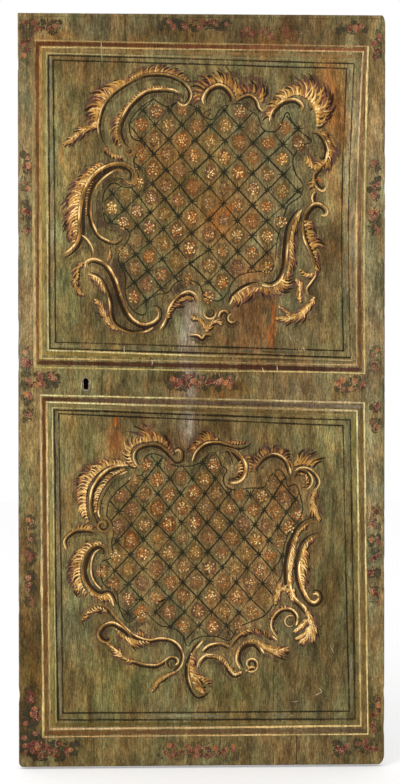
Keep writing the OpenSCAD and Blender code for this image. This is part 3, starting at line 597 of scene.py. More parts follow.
def stroke(layer, path, width, colour, lift, cover=1.0, shape="swell", under=None, shake=0.3):
    """A ribbon along a path. Its half width follows sin(pi t)^0.6 for a swelling stroke,
    (1 - t)^0.7 for a tail, t^0.7 for a head and stays even otherwise."""
    rng, count = layer["rng"], len(path)
    t = np.linspace(0, 1, count)
    taper = {"swell": np.sin(np.pi * t) ** 0.6, "tail": np.minimum((1 - t) ** 0.7, (t + 0.05) * 8),
             "head": t ** 0.7, "even": np.ones(count)}[shape]
    half = 0.5 * width * (0.1 + 0.9 * np.clip(taper, 0, 1)) * (1 + 0.16 * hand(rng, count, 4))
    side = sideways(path)
    middle = path + side * (shake * hand(rng, count, 6))[:, None]
    broad = width > BROAD_STROKE
    columns = np.array([-1.0, -0.6, 0.0, 0.6, 1.0] if broad else [-1.0, 0.0, 1.0])
    across = len(columns)
    xz = (middle[:, None] + side[:, None] * (half[:, None] * columns)[..., None]).reshape(-1, 2)
    high = lift * np.tile([0.35, 0.85, 1.0, 0.85, 0.35] if broad else [0.35, 1.0, 0.35], count)
    strength = cover * (1 + 0.12 * hand(rng, count, 9)) * (0.75 + 0.25 * np.clip(2.5 * taper, 0, 1))
    fade = np.array([0.10, 0.95, 1.0, 0.95, 0.10] if broad else [0.25, 1.0, 0.25])
    alpha = (strength[:, None] * fade).ravel()
    light = 1 + 0.10 * hand(rng, count, 7)
    rgb = np.repeat(np.broadcast_to(colour, (count, 3)) * light[:, None], across, 0)
    base = np.tile([*(under or (0, 0, 0)), 1.0 if under else 0.0], (count * across, 1))
    row = np.arange(count - 1)[:, None] * across + np.arange(across - 1)[None]
    quads = np.stack([row, row + across, row + across + 1, row + 1], -1).reshape(-1, 4)
    add_points(layer, xz, high, np.column_stack([rgb, alpha]), base, quads)


def dab(layer, x, z, r, colour, lift, cover=1.0, under=None, stretch=1.0):
    """A touch of the brush: a low dome whose rim is a wavering circle."""
    rng = layer["rng"]
    sides = 9 if r < 6 else 14
    angle = np.arange(sides) * 2 * np.pi / sides
    reach = r * (1 + 0.22 * rng.uniform(-1, 1, sides))
    ring = np.stack([x + reach * np.cos(angle), z + reach * stretch * np.sin(angle)], 1)
    xz = np.concatenate([[[x, z]], x_half(ring, x, z), ring])
    around = np.arange(sides)
    after = (around + 1) % sides
    fan = [[0, 1 + a, 1 + b] for a, b in zip(around, after)]
    rim = [[1 + a, 1 + sides + a, 1 + sides + b, 1 + b] for a, b in zip(around, after)]
    high = lift * np.concatenate([[1.0], np.full(sides, 0.9), np.full(sides, 0.35)])
    alpha = cover * np.concatenate([[1.0], np.full(sides, 1.0), np.full(sides, 0.15)])
    tint = np.column_stack([np.tile(colour, (len(xz), 1)) * rng.uniform(0.88, 1.12), alpha])
    base = np.tile([*(under or (0, 0, 0)), 1.0 if under else 0.0], (len(xz), 1))
    start = layer["count"]
    add_points(layer, xz, high, tint, base, np.zeros((0, 3), int))
    layer["faces"] += [[start + v for v in face] for face in fan + rim]


def x_half(ring, x, z):
    """The ring drawn in to six tenths of its size about x, z."""
    return np.array([x, z]) + 0.6 * (ring - np.array([x, z]))


def shifted(path, distance):
    """The path moved to its left by a distance, the same all along or one for each place."""
    return path + sideways(path) * np.broadcast_to(distance, len(path))[:, None]


# Old dirt that dulls the drawing: middle, reach each way, how strongly; below zero where the
# paint has kept more of its light than elsewhere
GRIME = [
    (55, 947, 230, 22, 0.58), (-15, 992, 80, 20, 0.50), (150, 1092, 150, 20, 0.52),
    (-400, 1955, 60, 40, 0.45),
    (-440, 22, 50, 24, 0.50), (-60, 870, 90, 36, 0.30), (-110, 1932, 220, 22, 0.42),
    (-265, 1862, 80, 24, 0.40),
    (-15, 1977, 60, 16, 0.40), (200, 1977, 40, 14, 0.40), (-150, 1640, 30, 60, 0.30),
    (-305, 485, 34, 60, -0.45),
    (-305, 700, 30, 90, -0.35), (270, 400, 44, 90, -0.40), (-466, 1090, 18, 20, -0.60),
    (245, 560, 30, 90, -0.25),
    (-328, 1470, 26, 80, -0.45), (295, 1770, 40, 60, -0.20), (399, 1600, 26, 180, -0.30),
    (250, 1260, 60, 60, -0.25),
    (-210, 440, 90, 170, -0.26), (-20, 470, 170, 150, -0.14), (60, 315, 150, 60, -0.28),
    (268, 540, 30, 130, -0.24),
    (400, 1040, 70, 60, -0.22), (262, 1250, 44, 90, -0.22), (-230, 1360, 60, 150, -0.24),
    (30, 1660, 90, 70, -0.22),
    (-150, 947, 110, 24, 0.34), (210, 947, 130, 22, 0.34), (60, 1850, 130, 50, 0.26),
    (130, 1140, 60, 60, 0.20),
]


def grime(x, z):
    """What the paint's red, green and blue are multiplied by: for each place one minus strength *
    exp(-0.7 (distance in reaches)^2.8), with blue lost most."""
    left = np.ones((len(x), 3))
    for px, pz, rx, rz, strength in GRIME:
        near = np.exp(-0.7 * (((x - px) / rx) ** 2 + ((z - pz) / rz) ** 2) ** 1.4)
        left *= 1 - strength * near[:, None] * np.array([0.88, 1.0, 1.12])
    return left


# The paint stays off the worn edges of the leaf
LEFT_LIMIT, RIGHT_LIMIT, FOOT_LIMIT, HEAD_LIMIT = -484, 478, 6, 1991


def build_layer(name, layer, material):
    """Turns the strokes of a layer into one piece lying on the boards' painted face."""
    xz = np.clip(np.concatenate(layer["xz"]), [LEFT_LIMIT, FOOT_LIMIT], [RIGHT_LIMIT, HEAD_LIMIT])
    y = np.maximum(face_at(xz[:, 0], xz[:, 1]) - np.concatenate(layer["lift"]), LOWEST_Y)
    thing = make_mesh(name, np.column_stack([xz[:, 0], y, xz[:, 1]]), layer["faces"])
    dulled = np.column_stack([grime(xz[:, 0], xz[:, 1]), np.ones(len(xz))])
    colour_layer(thing, "tint", np.concatenate(layer["tint"]) * dulled)
    colour_layer(thing, "under", np.concatenate(layer["under"]) * dulled)
    tone = ground_tone(xz[:, 0], xz[:, 1])
    colour_layer(thing, "tone", np.column_stack([tone, np.zeros(len(tone))]))
    thing.data.materials.append(material)
    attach(thing, "leaf")
    return thing


# Old oil paint: whole where a stroke's cover is high, ragged at its edges, rubbed through to
# the lacquer in upright scratches and small round losses.
brush_paint, tree, shader, place = new_material("old_oil_paint", specular=0.05)
tint = node_in(tree, "ShaderNodeAttribute", attribute_name="tint")
under = node_in(tree, "ShaderNodeAttribute", attribute_name="under")
tone = node_in(tree, "ShaderNodeAttribute", attribute_name="tone")
lacquer = use_group(tree, ground, {"Place": place, "Tone": tone.outputs["Color"]})
scratches = streak_noise(tree, place, (420.0, 420.0, 40.0), 3.0, 0.6)
losses = streak_noise(tree, place, (330.0, 330.0, 260.0), 3.0, 0.6)
wear = maths(tree, "ADD", maths(tree, "MULTIPLY", scratches, 0.55), maths(tree, "MULTIPLY", losses, 0.55))
left_over = maths(tree, "SUBTRACT", tint.outputs["Alpha"], wear)
kept = between(tree, left_over, -0.15, 0.15)
thin = streak_noise(tree, place, (230.0, 230.0, 60.0), 3.0)
lit = between(tree, thin, 0.27, 0.73, 0.62, 1.40)
brushed = mixed(tree, 1.0, tint.outputs["Color"],
                node_in(tree, "ShaderNodeCombineXYZ", {0: lit, 1: lit, 2: lit}).outputs[0], "MULTIPLY")
beneath = mixed(tree, maths(tree, "MULTIPLY", under.outputs["Alpha"], 0.75), lacquer["Color"],
                under.outputs["Color"])
painted = mixed(tree, maths(tree, "MULTIPLY", kept, 0.94), beneath, brushed)
tree.links.new(painted, shader.inputs["Base Color"])
tree.links.new(between(tree, kept, 0.0, 1.0, 0.55, 0.42), shader.inputs["Roughness"])
bumped(tree, shader, maths(tree, "ADD", maths(tree, "MULTIPLY", lacquer["Height"], 0.6), kept), 0.0002, 0.7)


# ---------------------------------------------------------------- painted mouldings of the panels
# Round each panel the painter laid a false moulding: two dark lines like grooves on the inner
# side, then a cream line, an olive band, a gold line, a red-brown band and a last cream line.
# Light falls on it from the left, so every side has its own colours; age has dulled the rest.

LINE_DARK = (0.024, 0.018, 0.009)
GREY_GAP = (0.200, 0.175, 0.092)


def moulding(layer, corners, sides, lift, bow=0.0, joint=6.0):
    """One painted line round a panel. The corners go from the left foot round over the top to
    the right foot. Each side has a width, the colours at its start and its end and a cover, and
    the right side bends inwards by bow sin(pi t). Colour and cover come and go along a side:
    both are multiplied by 1 plus slow random waves."""
    rng = layer["rng"]
    for number, side in enumerate(sides):
        if side is None:
            continue
        width, first, last, cover = side
        start, end = np.array(corners[number], float), np.array(corners[(number + 1) % 4], float)
        along = (end - start) / np.hypot(*(end - start))
        count = int(np.hypot(*(end - start)) / joint) + 1
        t = np.linspace(0, 1, count)[:, None]
        path = start + (end - start) * t
        path[:, 0] += bow * np.sin(np.pi * t[:, 0]) * (number == 2)
        path += sideways(path) * (0.9 * hand(rng, count, 45) + 0.35 * hand(rng, count, 8))[:, None]
        path[0] -= 0.4 * width * along
        path[-1] += 0.4 * width * along
        tint = (np.array(first) * (1 - t) + np.array(last) * t) * (1 + 0.22 * hand(rng, count, 14))[:, None]
        tint *= 1 + 0.10 * hand(rng, count, 5)[:, None] * np.array([0.2, 0.7, 1.5])
        worn = cover * (1 + 0.16 * hand(rng, count, 22) + 0.10 * hand(rng, count, 6))
        spread = 1.3 if width > 7 else 1.75      # a narrow stroke shows only its thick middle
        stroke(layer, path, width * spread, tint, lift, worn, "even", shake=0.25)
        for _ in range(int(count / 20)):
            a = int(rng.integers(0, max(count - 12, 1)))
            b = min(a + int(rng.integers(6, 20)), count - 1)
            bright = tint[a:b + 1] * rng.uniform(0.66, 1.36)
            stroke(layer, path[a:b + 1], width * rng.uniform(0.7, 1.2), bright, lift + 0.03, 0.75,
                   "swell", shake=0.2)


def dark_side(width, cover=0.95):
    """One side of a dark groove line."""
    return width, LINE_DARK, LINE_DARK, cover


mouldings = new_layer(201)
moulding(mouldings, [(-420, 1100), (-420, 1901), (417, 1890), (404, 1079)],
         [(9, (0.34, 0.26, 0.07), (0.25, 0.17, 0.05), 0.72), (9, (0.19, 0.12, 0.04), (0.30, 0.16, 0.06), 0.6),
          (12, (0.28, 0.19, 0.10), (0.19, 0.16, 0.08), 0.5),
          (9, (0.09, 0.06, 0.03), (0.28, 0.19, 0.04), 0.66)],
         0.18, -8)
moulding(mouldings, [(-434, 1077), (-436, 1919), (434, 1908), (422, 1057)],
         [(8.5, (0.21, 0.09, 0.025), (0.13, 0.042, 0.013), 0.98),
          (9, (0.12, 0.034, 0.010), (0.22, 0.085, 0.035), 0.92),
          (9, (0.25, 0.125, 0.055), (0.15, 0.065, 0.02), 0.82),
          (11, (0.075, 0.026, 0.018), (0.070, 0.026, 0.010), 1.0)],
         0.22, -8)
moulding(mouldings, [(-444, 1064), (-447, 1928), (442, 1916), (434, 1047)],
         [(5.5, (0.60, 0.42, 0.17), (0.20, 0.13, 0.05), 0.85),
          (4, (0.60, 0.40, 0.15), (0.48, 0.26, 0.11), 0.80),
          (5, (0.72, 0.55, 0.25), (0.60, 0.42, 0.15), 0.90),
          (4, (0.72, 0.50, 0.20), (0.48, 0.38, 0.12), 0.90)],
         0.30, -5)
moulding(mouldings, [(-428, 1088), (-428, 1910), (429, 1903), (413, 1069)],
         [(5.5, (0.48, 0.33, 0.12), (0.40, 0.22, 0.06), 0.88),
          (4, (0.62, 0.44, 0.17), (0.48, 0.27, 0.12), 0.82),
          (4, (0.72, 0.52, 0.25), (0.42, 0.30, 0.14), 0.90),
          (3.5, (0.45, 0.26, 0.14), (0.58, 0.42, 0.14), 0.88)],
         0.32, -9)
moulding(mouldings, [(-409, 1108), (-412, 1893), (410, 1880), (400, 1082)],
         [(3.5, (0.66, 0.58, 0.25), (0.38, 0.33, 0.15), 0.85),
          (3.5, (0.50, 0.42, 0.20), (0.30, 0.20, 0.08), 0.75),
          None, (4, (0.40, 0.28, 0.12), (0.74, 0.60, 0.27), 0.90)], 0.32)
moulding(mouldings, [(-397, 1122), (-401, 1881), (394, 1864), (386, 1098)],
         [(9, GREY_GAP, GREY_GAP, 0.62), (9, GREY_GAP, GREY_GAP, 0.4), (9, GREY_GAP, GREY_GAP, 0.5),
          (9, GREY_GAP, GREY_GAP, 0.4)], 0.10, -8)
moulding(mouldings, [(-404, 1114), (-407, 1888), (404, 1871), (395, 1088)],
         [dark_side(4.5), dark_side(3.8), dark_side(4, 0.8), dark_side(4.5)], 0.26, -9)
moulding(mouldings, [(-389, 1130), (-394, 1875), (384, 1858), (377, 1107)],
         [dark_side(4.5), dark_side(4.2), dark_side(4.2, 0.9), dark_side(4.5)], 0.26, -8)

moulding(mouldings, [(-396, 112), (-405, 962), (404, 936), (417, 113)],
         [(9, (0.20, 0.15, 0.03), (0.33, 0.27, 0.09), 0.72),
          (9, (0.24, 0.19, 0.07), (0.35, 0.26, 0.10), 0.66),
          (10, (0.26, 0.21, 0.06), (0.20, 0.14, 0.04), 0.66),
          (10, (0.20, 0.15, 0.05), (0.13, 0.09, 0.02), 0.66)], 0.18)
moulding(mouldings, [(-416, 91), (-420, 980), (424, 958), (434, 92)],
         [(8, (0.16, 0.08, 0.026), (0.17, 0.055, 0.014), 0.95),
          (10, (0.075, 0.030, 0.010), (0.24, 0.175, 0.12), 0.88),
          (9, (0.17, 0.10, 0.03), (0.24, 0.14, 0.045), 0.88),
          (10, (0.16, 0.10, 0.055), (0.16, 0.07, 0.018), 0.92)], 0.22)
moulding(mouldings, [(-423, 81), (-429, 990), (433, 969), (443, 82)],
         [(5, (0.74, 0.57, 0.21), (0.58, 0.37, 0.19), 0.95),
          (4.5, (0.76, 0.64, 0.27), (0.60, 0.43, 0.24), 0.90),
          (4, (0.70, 0.56, 0.25), (0.80, 0.59, 0.23), 0.95),
          (4, (0.78, 0.54, 0.21), (0.55, 0.32, 0.14), 0.90)], 0.30)
moulding(mouldings, [(-405, 101), (-413, 971), (413, 947), (425, 104)],
         [(4.5, (0.50, 0.33, 0.13), (0.72, 0.50, 0.22), 0.92),
          (4.5, (0.78, 0.64, 0.29), (0.76, 0.58, 0.29), 0.95),
          (4.5, (0.78, 0.64, 0.29), (0.68, 0.47, 0.19), 0.95),
          (4.5, (0.70, 0.49, 0.19), (0.73, 0.47, 0.24), 0.95)], 0.32)
moulding(mouldings, [(-389, 120), (-398, 956), (400, 930), (411, 120)],
         [(3, (0.42, 0.37, 0.17), (0.64, 0.56, 0.27), 0.85),
          (3, (0.58, 0.48, 0.21), (0.28, 0.23, 0.09), 0.78),
          None, None], 0.32)
moulding(mouldings, [(-377, 135), (-387, 945), (385, 915), (401, 132)],
         [(9, GREY_GAP, (0.20, 0.13, 0.09), 0.6), (8, GREY_GAP, GREY_GAP, 0.45),
          (10, GREY_GAP, GREY_GAP, 0.4),
          (11, GREY_GAP, GREY_GAP, 0.45)], 0.10)
moulding(mouldings, [(-385, 126), (-393, 950), (395, 923), (409, 122)],
         [dark_side(5), dark_side(4.2), dark_side(4.2), dark_side(5)], 0.26)
moulding(mouldings, [(-370, 144), (-381, 940), (375, 907), (393, 143)],
         [dark_side(4.2), dark_side(4.2), dark_side(4.2), dark_side(4.5)], 0.26)
build_layer("panel_lines", mouldings, brush_paint)


# ---------------------------------------------------------------- trellis and its flowers
# Inside each cartouche a lattice of dark green lines crosses the panel; a dark star marks each
# crossing, and each diamond holds a rust-coloured dab with a flower of orange and cream dots.

UPPER_FIELD = [
    (-130, 1775), (-165, 1750), (-190, 1715), (-193, 1690), (-183, 1668), (-160, 1660), (-152, 1640),
    (-178, 1620), (-180, 1595), (-170, 1570), (-178, 1545), (-205, 1540), (-235, 1552), (-258, 1530),
    (-264, 1490), (-255, 1448), (-225, 1442), (-205, 1432), (-192, 1415), (-205, 1388), (-222, 1362),
    (-218, 1335), (-204, 1305), (-204, 1262), (-195, 1230), (-175, 1207), (-152, 1205), (-145, 1240),
    (-118, 1256), (-92, 1262), (-68, 1288), (-38, 1296), (-8, 1284), (8, 1250), (45, 1240), (68, 1262),
    (78, 1285), (100, 1308), (145, 1318), (182, 1320), (194, 1350), (200, 1400), (212, 1445),
    (228, 1492), (262, 1520), (268, 1550), (248, 1580), (242, 1615), (262, 1650), (290, 1665),
    (262, 1690), (240, 1715), (225, 1740), (205, 1700), (185, 1688), (160, 1698), (148, 1730),
    (125, 1745), (100, 1762), (62, 1758), (45, 1745), (30, 1722), (5, 1728), (-10, 1750), (-40, 1762),
    (-70, 1765), (-95, 1755)]
LOWER_FIELD = [
    (-255, 670), (-248, 705), (-232, 728), (-208, 750), (-180, 772), (-160, 778), (-150, 800),
    (-152, 822), (-130, 834), (-105, 825), (-82, 805), (-45, 800), (-12, 806), (5, 820), (28, 838),
    (45, 818), (52, 800), (66, 790), (57, 768), (62, 748), (82, 738), (108, 740), (140, 742),
    (165, 745), (185, 775), (205, 790), (222, 770), (228, 745), (250, 750), (262, 720), (268, 690),
    (262, 662), (240, 635), (222, 600), (215, 560), (212, 510), (195, 480), (200, 455), (190, 430),
    (165, 400), (130, 385), (98, 370), (74, 336), (40, 345), (5, 346), (-25, 335), (-38, 320),
    (-55, 352), (-80, 370), (-112, 376), (-140, 402), (-150, 410), (-175, 400), (-195, 385),
    (-212, 405), (-222, 430), (-225, 455), (-235, 475), (-255, 480), (-270, 510), (-268, 545),
    (-245, 555), (-238, 575), (-240, 600), (-235, 625), (-240, 650)]
TRELLIS = (0.014, 0.016, 0.009)
FLOWER_COLOURS = [(0.72, 0.31, 0.07), (0.82, 0.47, 0.14), (0.88, 0.62, 0.26), (0.62, 0.20, 0.045)]


def inside(x, z, outline):
    """Whether x, z lies in a closed outline: a line from it to the right crosses it oddly often."""
    within = False
    for (ax, az), (bx, bz) in zip(outline, outline[1:] + outline[:1]):
        if (az > z) != (bz > z) and x < ax + (z - az) / (bz - az) * (bx - ax):
            within = not within
    return within


def upper_crossing(i, j):
    """Where the upper lattice's lines cross, by whole numbers whose sum is even."""
    left, right = max(-i, 0), max(i, 0)
    z = 1706 + (41.5 - 0.7 * left) * j - 1.3 * right
    slant = 0.05 if i < 0 else 0.012
    return np.array([22 + 37.6 * i + 0.25 * i * i + slant * (z - 1706), z])


def lower_crossing(i, j):
    """Where the lower lattice's lines cross, by whole numbers whose sum is even."""
    row = j + 4
    z = 610 + 39.5 * row - 0.22 * i * i
    return np.array([-19 + 33.6 * i - 0.7 * i * row - 1.5 * row - 0.15 * i * i, z])


FLOWER_BODIES = [(0.18, 0.082, 0.032), (0.20, 0.088, 0.028), (0.18, 0.102, 0.038), (0.23, 0.088, 0.024),
                 (0.16, 0.078, 0.036), (0.20, 0.110, 0.032)]
FLOWER_DIRT = (0.085, 0.036, 0.020)
FLOWER_LIGHT = (0.92, 0.68, 0.34)


def draw_trellis(layer, crossing, outline, rows):
    """Each pair of neighbouring crossings is joined by a slightly bowed stroke, cut where it
    leaves the outline; each crossing gets a small star; each diamond gets its flower."""
    rng = layer["rng"]
    nudge = {(i, j): rng.uniform(-1.6, 1.6, 2)
             for i in range(-14, 15) for j in range(rows[0] - 1, rows[1] + 2)}
    for i in range(-13, 14):
        for j in range(rows[0], rows[1] + 1):
            if (i + j) % 2:
                continue
            here = crossing(i, j) + nudge[i, j]
            for di in (-1, 1):
                there = crossing(i + di, j + 1) + nudge[i + di, j + 1]
                bow = rng.uniform(-1.5, 1.5)
                middle = 0.5 * (here + there) + np.array([bow, bow * di])
                path = curve([here, middle, there], 3.0)
                keep = [inside(x, z, outline) for x, z in path]
                if sum(keep) > 3:
                    path = path[np.flatnonzero(keep)[0]:np.flatnonzero(keep)[-1] + 1]
                    stroke(layer, path, rng.uniform(5.6, 8.2), TRELLIS, 0.2, rng.uniform(0.74, 1.02), "even")
            if inside(*here, outline):
                dab(layer, *here, rng.uniform(4.5, 7.0), TRELLIS, 0.24, 0.95)
                for spoke in range(8):
                    angle = spoke * np.pi / 4 + rng.uniform(-0.2, 0.2)
                    reach = rng.uniform(11, 17)
                    tip = here + reach * np.array([np.cos(angle), np.sin(angle)])
                    stroke(layer, curve([here, tip], 2.5), 6.4, TRELLIS, 0.22, 1.08, "tail")
            heart = crossing(i, j + 1) + rng.uniform(-2, 2, 2)
            if inside(*heart, outline):
                draw_flower(layer, *heart)


def draw_flower(layer, x, z):
    """A rust or ochre dab scumbled over the diamond, and petals of round dots about a middle."""
    rng = layer["rng"]
    patch = FLOWER_BODIES[int(rng.integers(0, len(FLOWER_BODIES)))]
    dab(layer, x, z, rng.uniform(23, 30), np.array(patch) * 0.58, 0.09, rng.uniform(0.54, 0.72), stretch=1.2)
    dab(layer, x + rng.uniform(-2, 2), z + rng.uniform(-2, 2), rng.uniform(15, 18.5), np.array(patch) * 1.1,
        0.13, rng.uniform(0.62, 0.95), under=patch, stretch=1.12)
    for _ in range(4):
        dab(layer, x + rng.uniform(-13, 13), z + rng.uniform(-14, 14), rng.uniform(3.5, 5.5),
            FLOWER_DIRT, 0.16, rng.uniform(0.4, 0.75), under=patch)
    turn = rng.uniform(0, np.pi)
    strength = rng.uniform(0.55, 1.05)
    bright = rng.uniform(0.50, 1.1)
    for count, ring_reach, r in ((1, 0, 3.1), (6, 6.4, 3.0), (int(rng.integers(6, 10)), 12.5, 2.8)):
        for petal in range(count):
            angle = turn + petal * 2 * np.pi / count + rng.uniform(-0.25, 0.25)
            reach = ring_reach * rng.uniform(0.85, 1.15)
            colour = np.array(FLOWER_COLOURS[int(rng.integers(0, len(FLOWER_COLOURS)))])
            colour = colour * bright * rng.uniform(0.7, 1.15)
            dab(layer, x + reach * np.cos(angle), z + 1.12 * reach * np.sin(angle),
                r * rng.uniform(0.8, 1.15), colour, 0.24, strength * rng.uniform(0.75, 1.0), under=patch)
    for _ in range(int(rng.integers(2, 5))):
        dab(layer, x + rng.uniform(-11, 11), z + rng.uniform(-13, 13), rng.uniform(1.7, 2.6),
            np.array(FLOWER_LIGHT) * bright, 0.26, strength, under=patch)


trellis = new_layer(202)
draw_trellis(trellis, upper_crossing, UPPER_FIELD, (-13, 3))
draw_trellis(trellis, lower_crossing, LOWER_FIELD, (-12, 3))
build_layer("trellis", trellis, brush_paint)


# ---------------------------------------------------------------- scrollwork of the upper panel
# The cartouche is drawn with C and S scrolls that look carved: each has a dark line on its
# shaded side, an ochre body and a cream light. Feathery fringes and acanthus leaves grow out of
# them, brown at the tips and golden at the root.

GLAZE = (0.056, 0.031, 0.018)     # brown shading rubbed thinly over the green


def scroll(layer, points, width, dark_side, strength=1.0):
    """A carved-looking rib: shadow to one side, ochre body, golden light to the other side and
    cream touches where the light catches it. dark_side is 1 for the left of the path, or -1."""
    rng = layer["rng"]
    path = curve(points)
    stroke(layer, shifted(path, 1.2 * width * dark_side), 2.6 * width, GLAZE, 0.10, 0.55 * strength)
    stroke(layer, shifted(path, -0.52 * width * dark_side), 0.55 * width, VIOLET_BROWN, 0.22, 0.75 * strength)
    stroke(layer, shifted(path, 0.56 * width * dark_side), 1.10 * width, SHADOW, 0.24,
           strength * (0.85 + 0.2 * hand(rng, len(path), 16)))
    glow = 0.80 + 0.55 * hand(rng, len(path), 13)
    stroke(layer, path, 0.70 * width, np.array(OCHRE) * glow[:, None], 0.31, strength)
    lit_edge = shifted(path, -0.16 * width * dark_side)
    stroke(layer, lit_edge, 0.50 * width, np.array(GOLD) * glow[:, None], 0.38, strength * (0.5 + 0.5 * glow))
    start = 0
    while start < len(path) - 5:
        end = min(start + int(rng.integers(8, 22)), len(path) - 1)
        if glow[(start + end) // 2] > rng.uniform(0.5, 0.95):
            stroke(layer, lit_edge[start:end + 1], 0.58 * width, CREAM, 0.45, strength, under=GOLD)
        start = end + int(rng.integers(1, 5))


def barb(layer, root, direction, along, reach, width, warm, strength):
    """One tooth of a fringe: a dark hair that leaves its root in a direction and hooks over
    towards another, with golden paint on its inner half and a light on the inner third."""
    rng = layer["rng"]
    middle = root + 0.55 * reach * direction
    tip = root + 0.88 * reach * direction + 0.40 * reach * along
    hair = curve([root, middle, tip], 2.2)
    dark = VIOLET_BROWN if rng.random() < 0.6 else SHADOW
    stroke(layer, hair + np.array([2.2, -2.6]), 2.0 * width, dark, 0.2, strength, "tail")
    golden = int(len(hair) * np.clip(0.42 + 0.5 * warm + rng.uniform(-0.12, 0.12), 0.3, 1.0)) + 2
    body = [OCHRE, REDDISH, GOLD][int(rng.choice(3, p=[0.4, 0.6 * (1 - warm), 0.6 * warm]))]
    stroke(layer, hair[:golden], 1.35 * width, body, 0.29, strength, "tail")
    if rng.random() < 0.35 + 0.65 * warm:
        light = CREAM if rng.random() < 0.75 * warm else GOLD
        stroke(layer, hair[:max(int(0.8 * golden), 3)] - np.array([0.7, -0.7]), 0.95 * width, light, 0.37,
               strength, "tail", under=body)


def fringe(layer, points, reach, side, lean=0.5, warm=0.5, strength=0.98):
    """Teeth along a spine, to its left if side is 1 or its right if -1, leaning along it by lean
    and longest in the middle, as reach times 0.4 + 0.6 sin(pi t). Dusky brown lies under their
    tips and a golden crest along their roots."""
    rng = layer["rng"]
    width = 4.5 + 0.075 * reach
    spine = curve(points, 1.0 + 1.1 * width)
    out = sideways(spine) * side
    along = np.gradient(spine, axis=0)
    along /= np.hypot(along[:, 0], along[:, 1])[:, None]
    tufts = hand(rng, len(spine), 3.5)
    swell = 0.4 + 0.6 * np.sin(np.pi * np.linspace(0, 1, len(spine)))
    for spread, cover in ((1.7, 0.36), (1.2, 0.43), (0.8, 0.52)):
        stroke(layer, shifted(spine, side * 0.9 * reach * swell), spread * reach, GLAZE, 0.10,
               cover * strength, "even", shake=3)
    stroke(layer, shifted(spine, side * 0.80 * reach * swell), 0.5 * reach, VIOLET_BROWN, 0.13,
           0.55 * strength)
    root_mass = OCHRE if warm > 0.3 else VIOLET_BROWN
    stroke(layer, shifted(spine, side * 0.25 * reach * swell), 0.66 * reach, root_mass, 0.16, 0.85 * strength)
    if warm > 0.3:
        stroke(layer, shifted(spine, side * 0.18 * reach * swell), 0.50 * reach, GOLD, 0.20,
               (0.5 + 0.5 * warm) * strength, under=OCHRE)
        stroke(layer, shifted(spine, side * 0.10 * reach * swell), 0.26 * reach, CREAM, 0.22,
               (0.05 + 0.6 * warm * warm) * strength, under=GOLD)
    for k in range(len(spine)):
        length = reach * swell[k] * rng.uniform(0.75, 1.15) * (1 + 0.35 * tufts[k])
        tilt = 1.4 * lean + rng.uniform(-0.2, 0.2) + 0.25 * tufts[k]
        direction = np.cos(tilt) * out[k] + np.sin(tilt) * along[k]
        barb(layer, spine[k], direction, along[k] * np.sign(lean + 1e-6), length, width, warm, strength)
    for k in range(1, len(spine) - 1, 5) if reach > 15 else ():
        for fan in (-0.5, -0.1, 0.3):
            tilt = 1.4 * lean + fan
            direction = np.cos(tilt) * out[k] + np.sin(tilt) * along[k]
            barb(layer, spine[k], direction, along[k] * np.sign(lean + 1e-6), 1.25 * reach * swell[k],
                 1.05 * width, 0.5 * warm, strength)


def leaf(layer, points, reach, warm=0.5, strength=0.95):
    """An acanthus leaf: a spine with a fringe on both sides, leaning towards its tip."""
    fringe(layer, points, reach, 1, 0.85, warm, strength)
    fringe(layer, points, reach, -1, 0.85, warm, strength)
    path = curve(points)
    stroke(layer, shifted(path, 1.5), 4.5, SHADOW, 0.30, strength, "tail")
    stroke(layer, path, 4.6, GOLD if warm > 0.5 else OCHRE, 0.38, strength, "tail")


def ring(x, z, r, start, turns, inward=0.75):
    """Points along a curl about x, z that starts at an angle in degrees and winds inward."""
    t = np.linspace(0, 1, max(int(abs(turns) * 12), 6))
    angle = np.radians(start) + 2 * np.pi * turns * t
    reach = r * (1 - inward * t)
    return list(zip(x + reach * np.cos(angle), z + reach * np.sin(angle)))


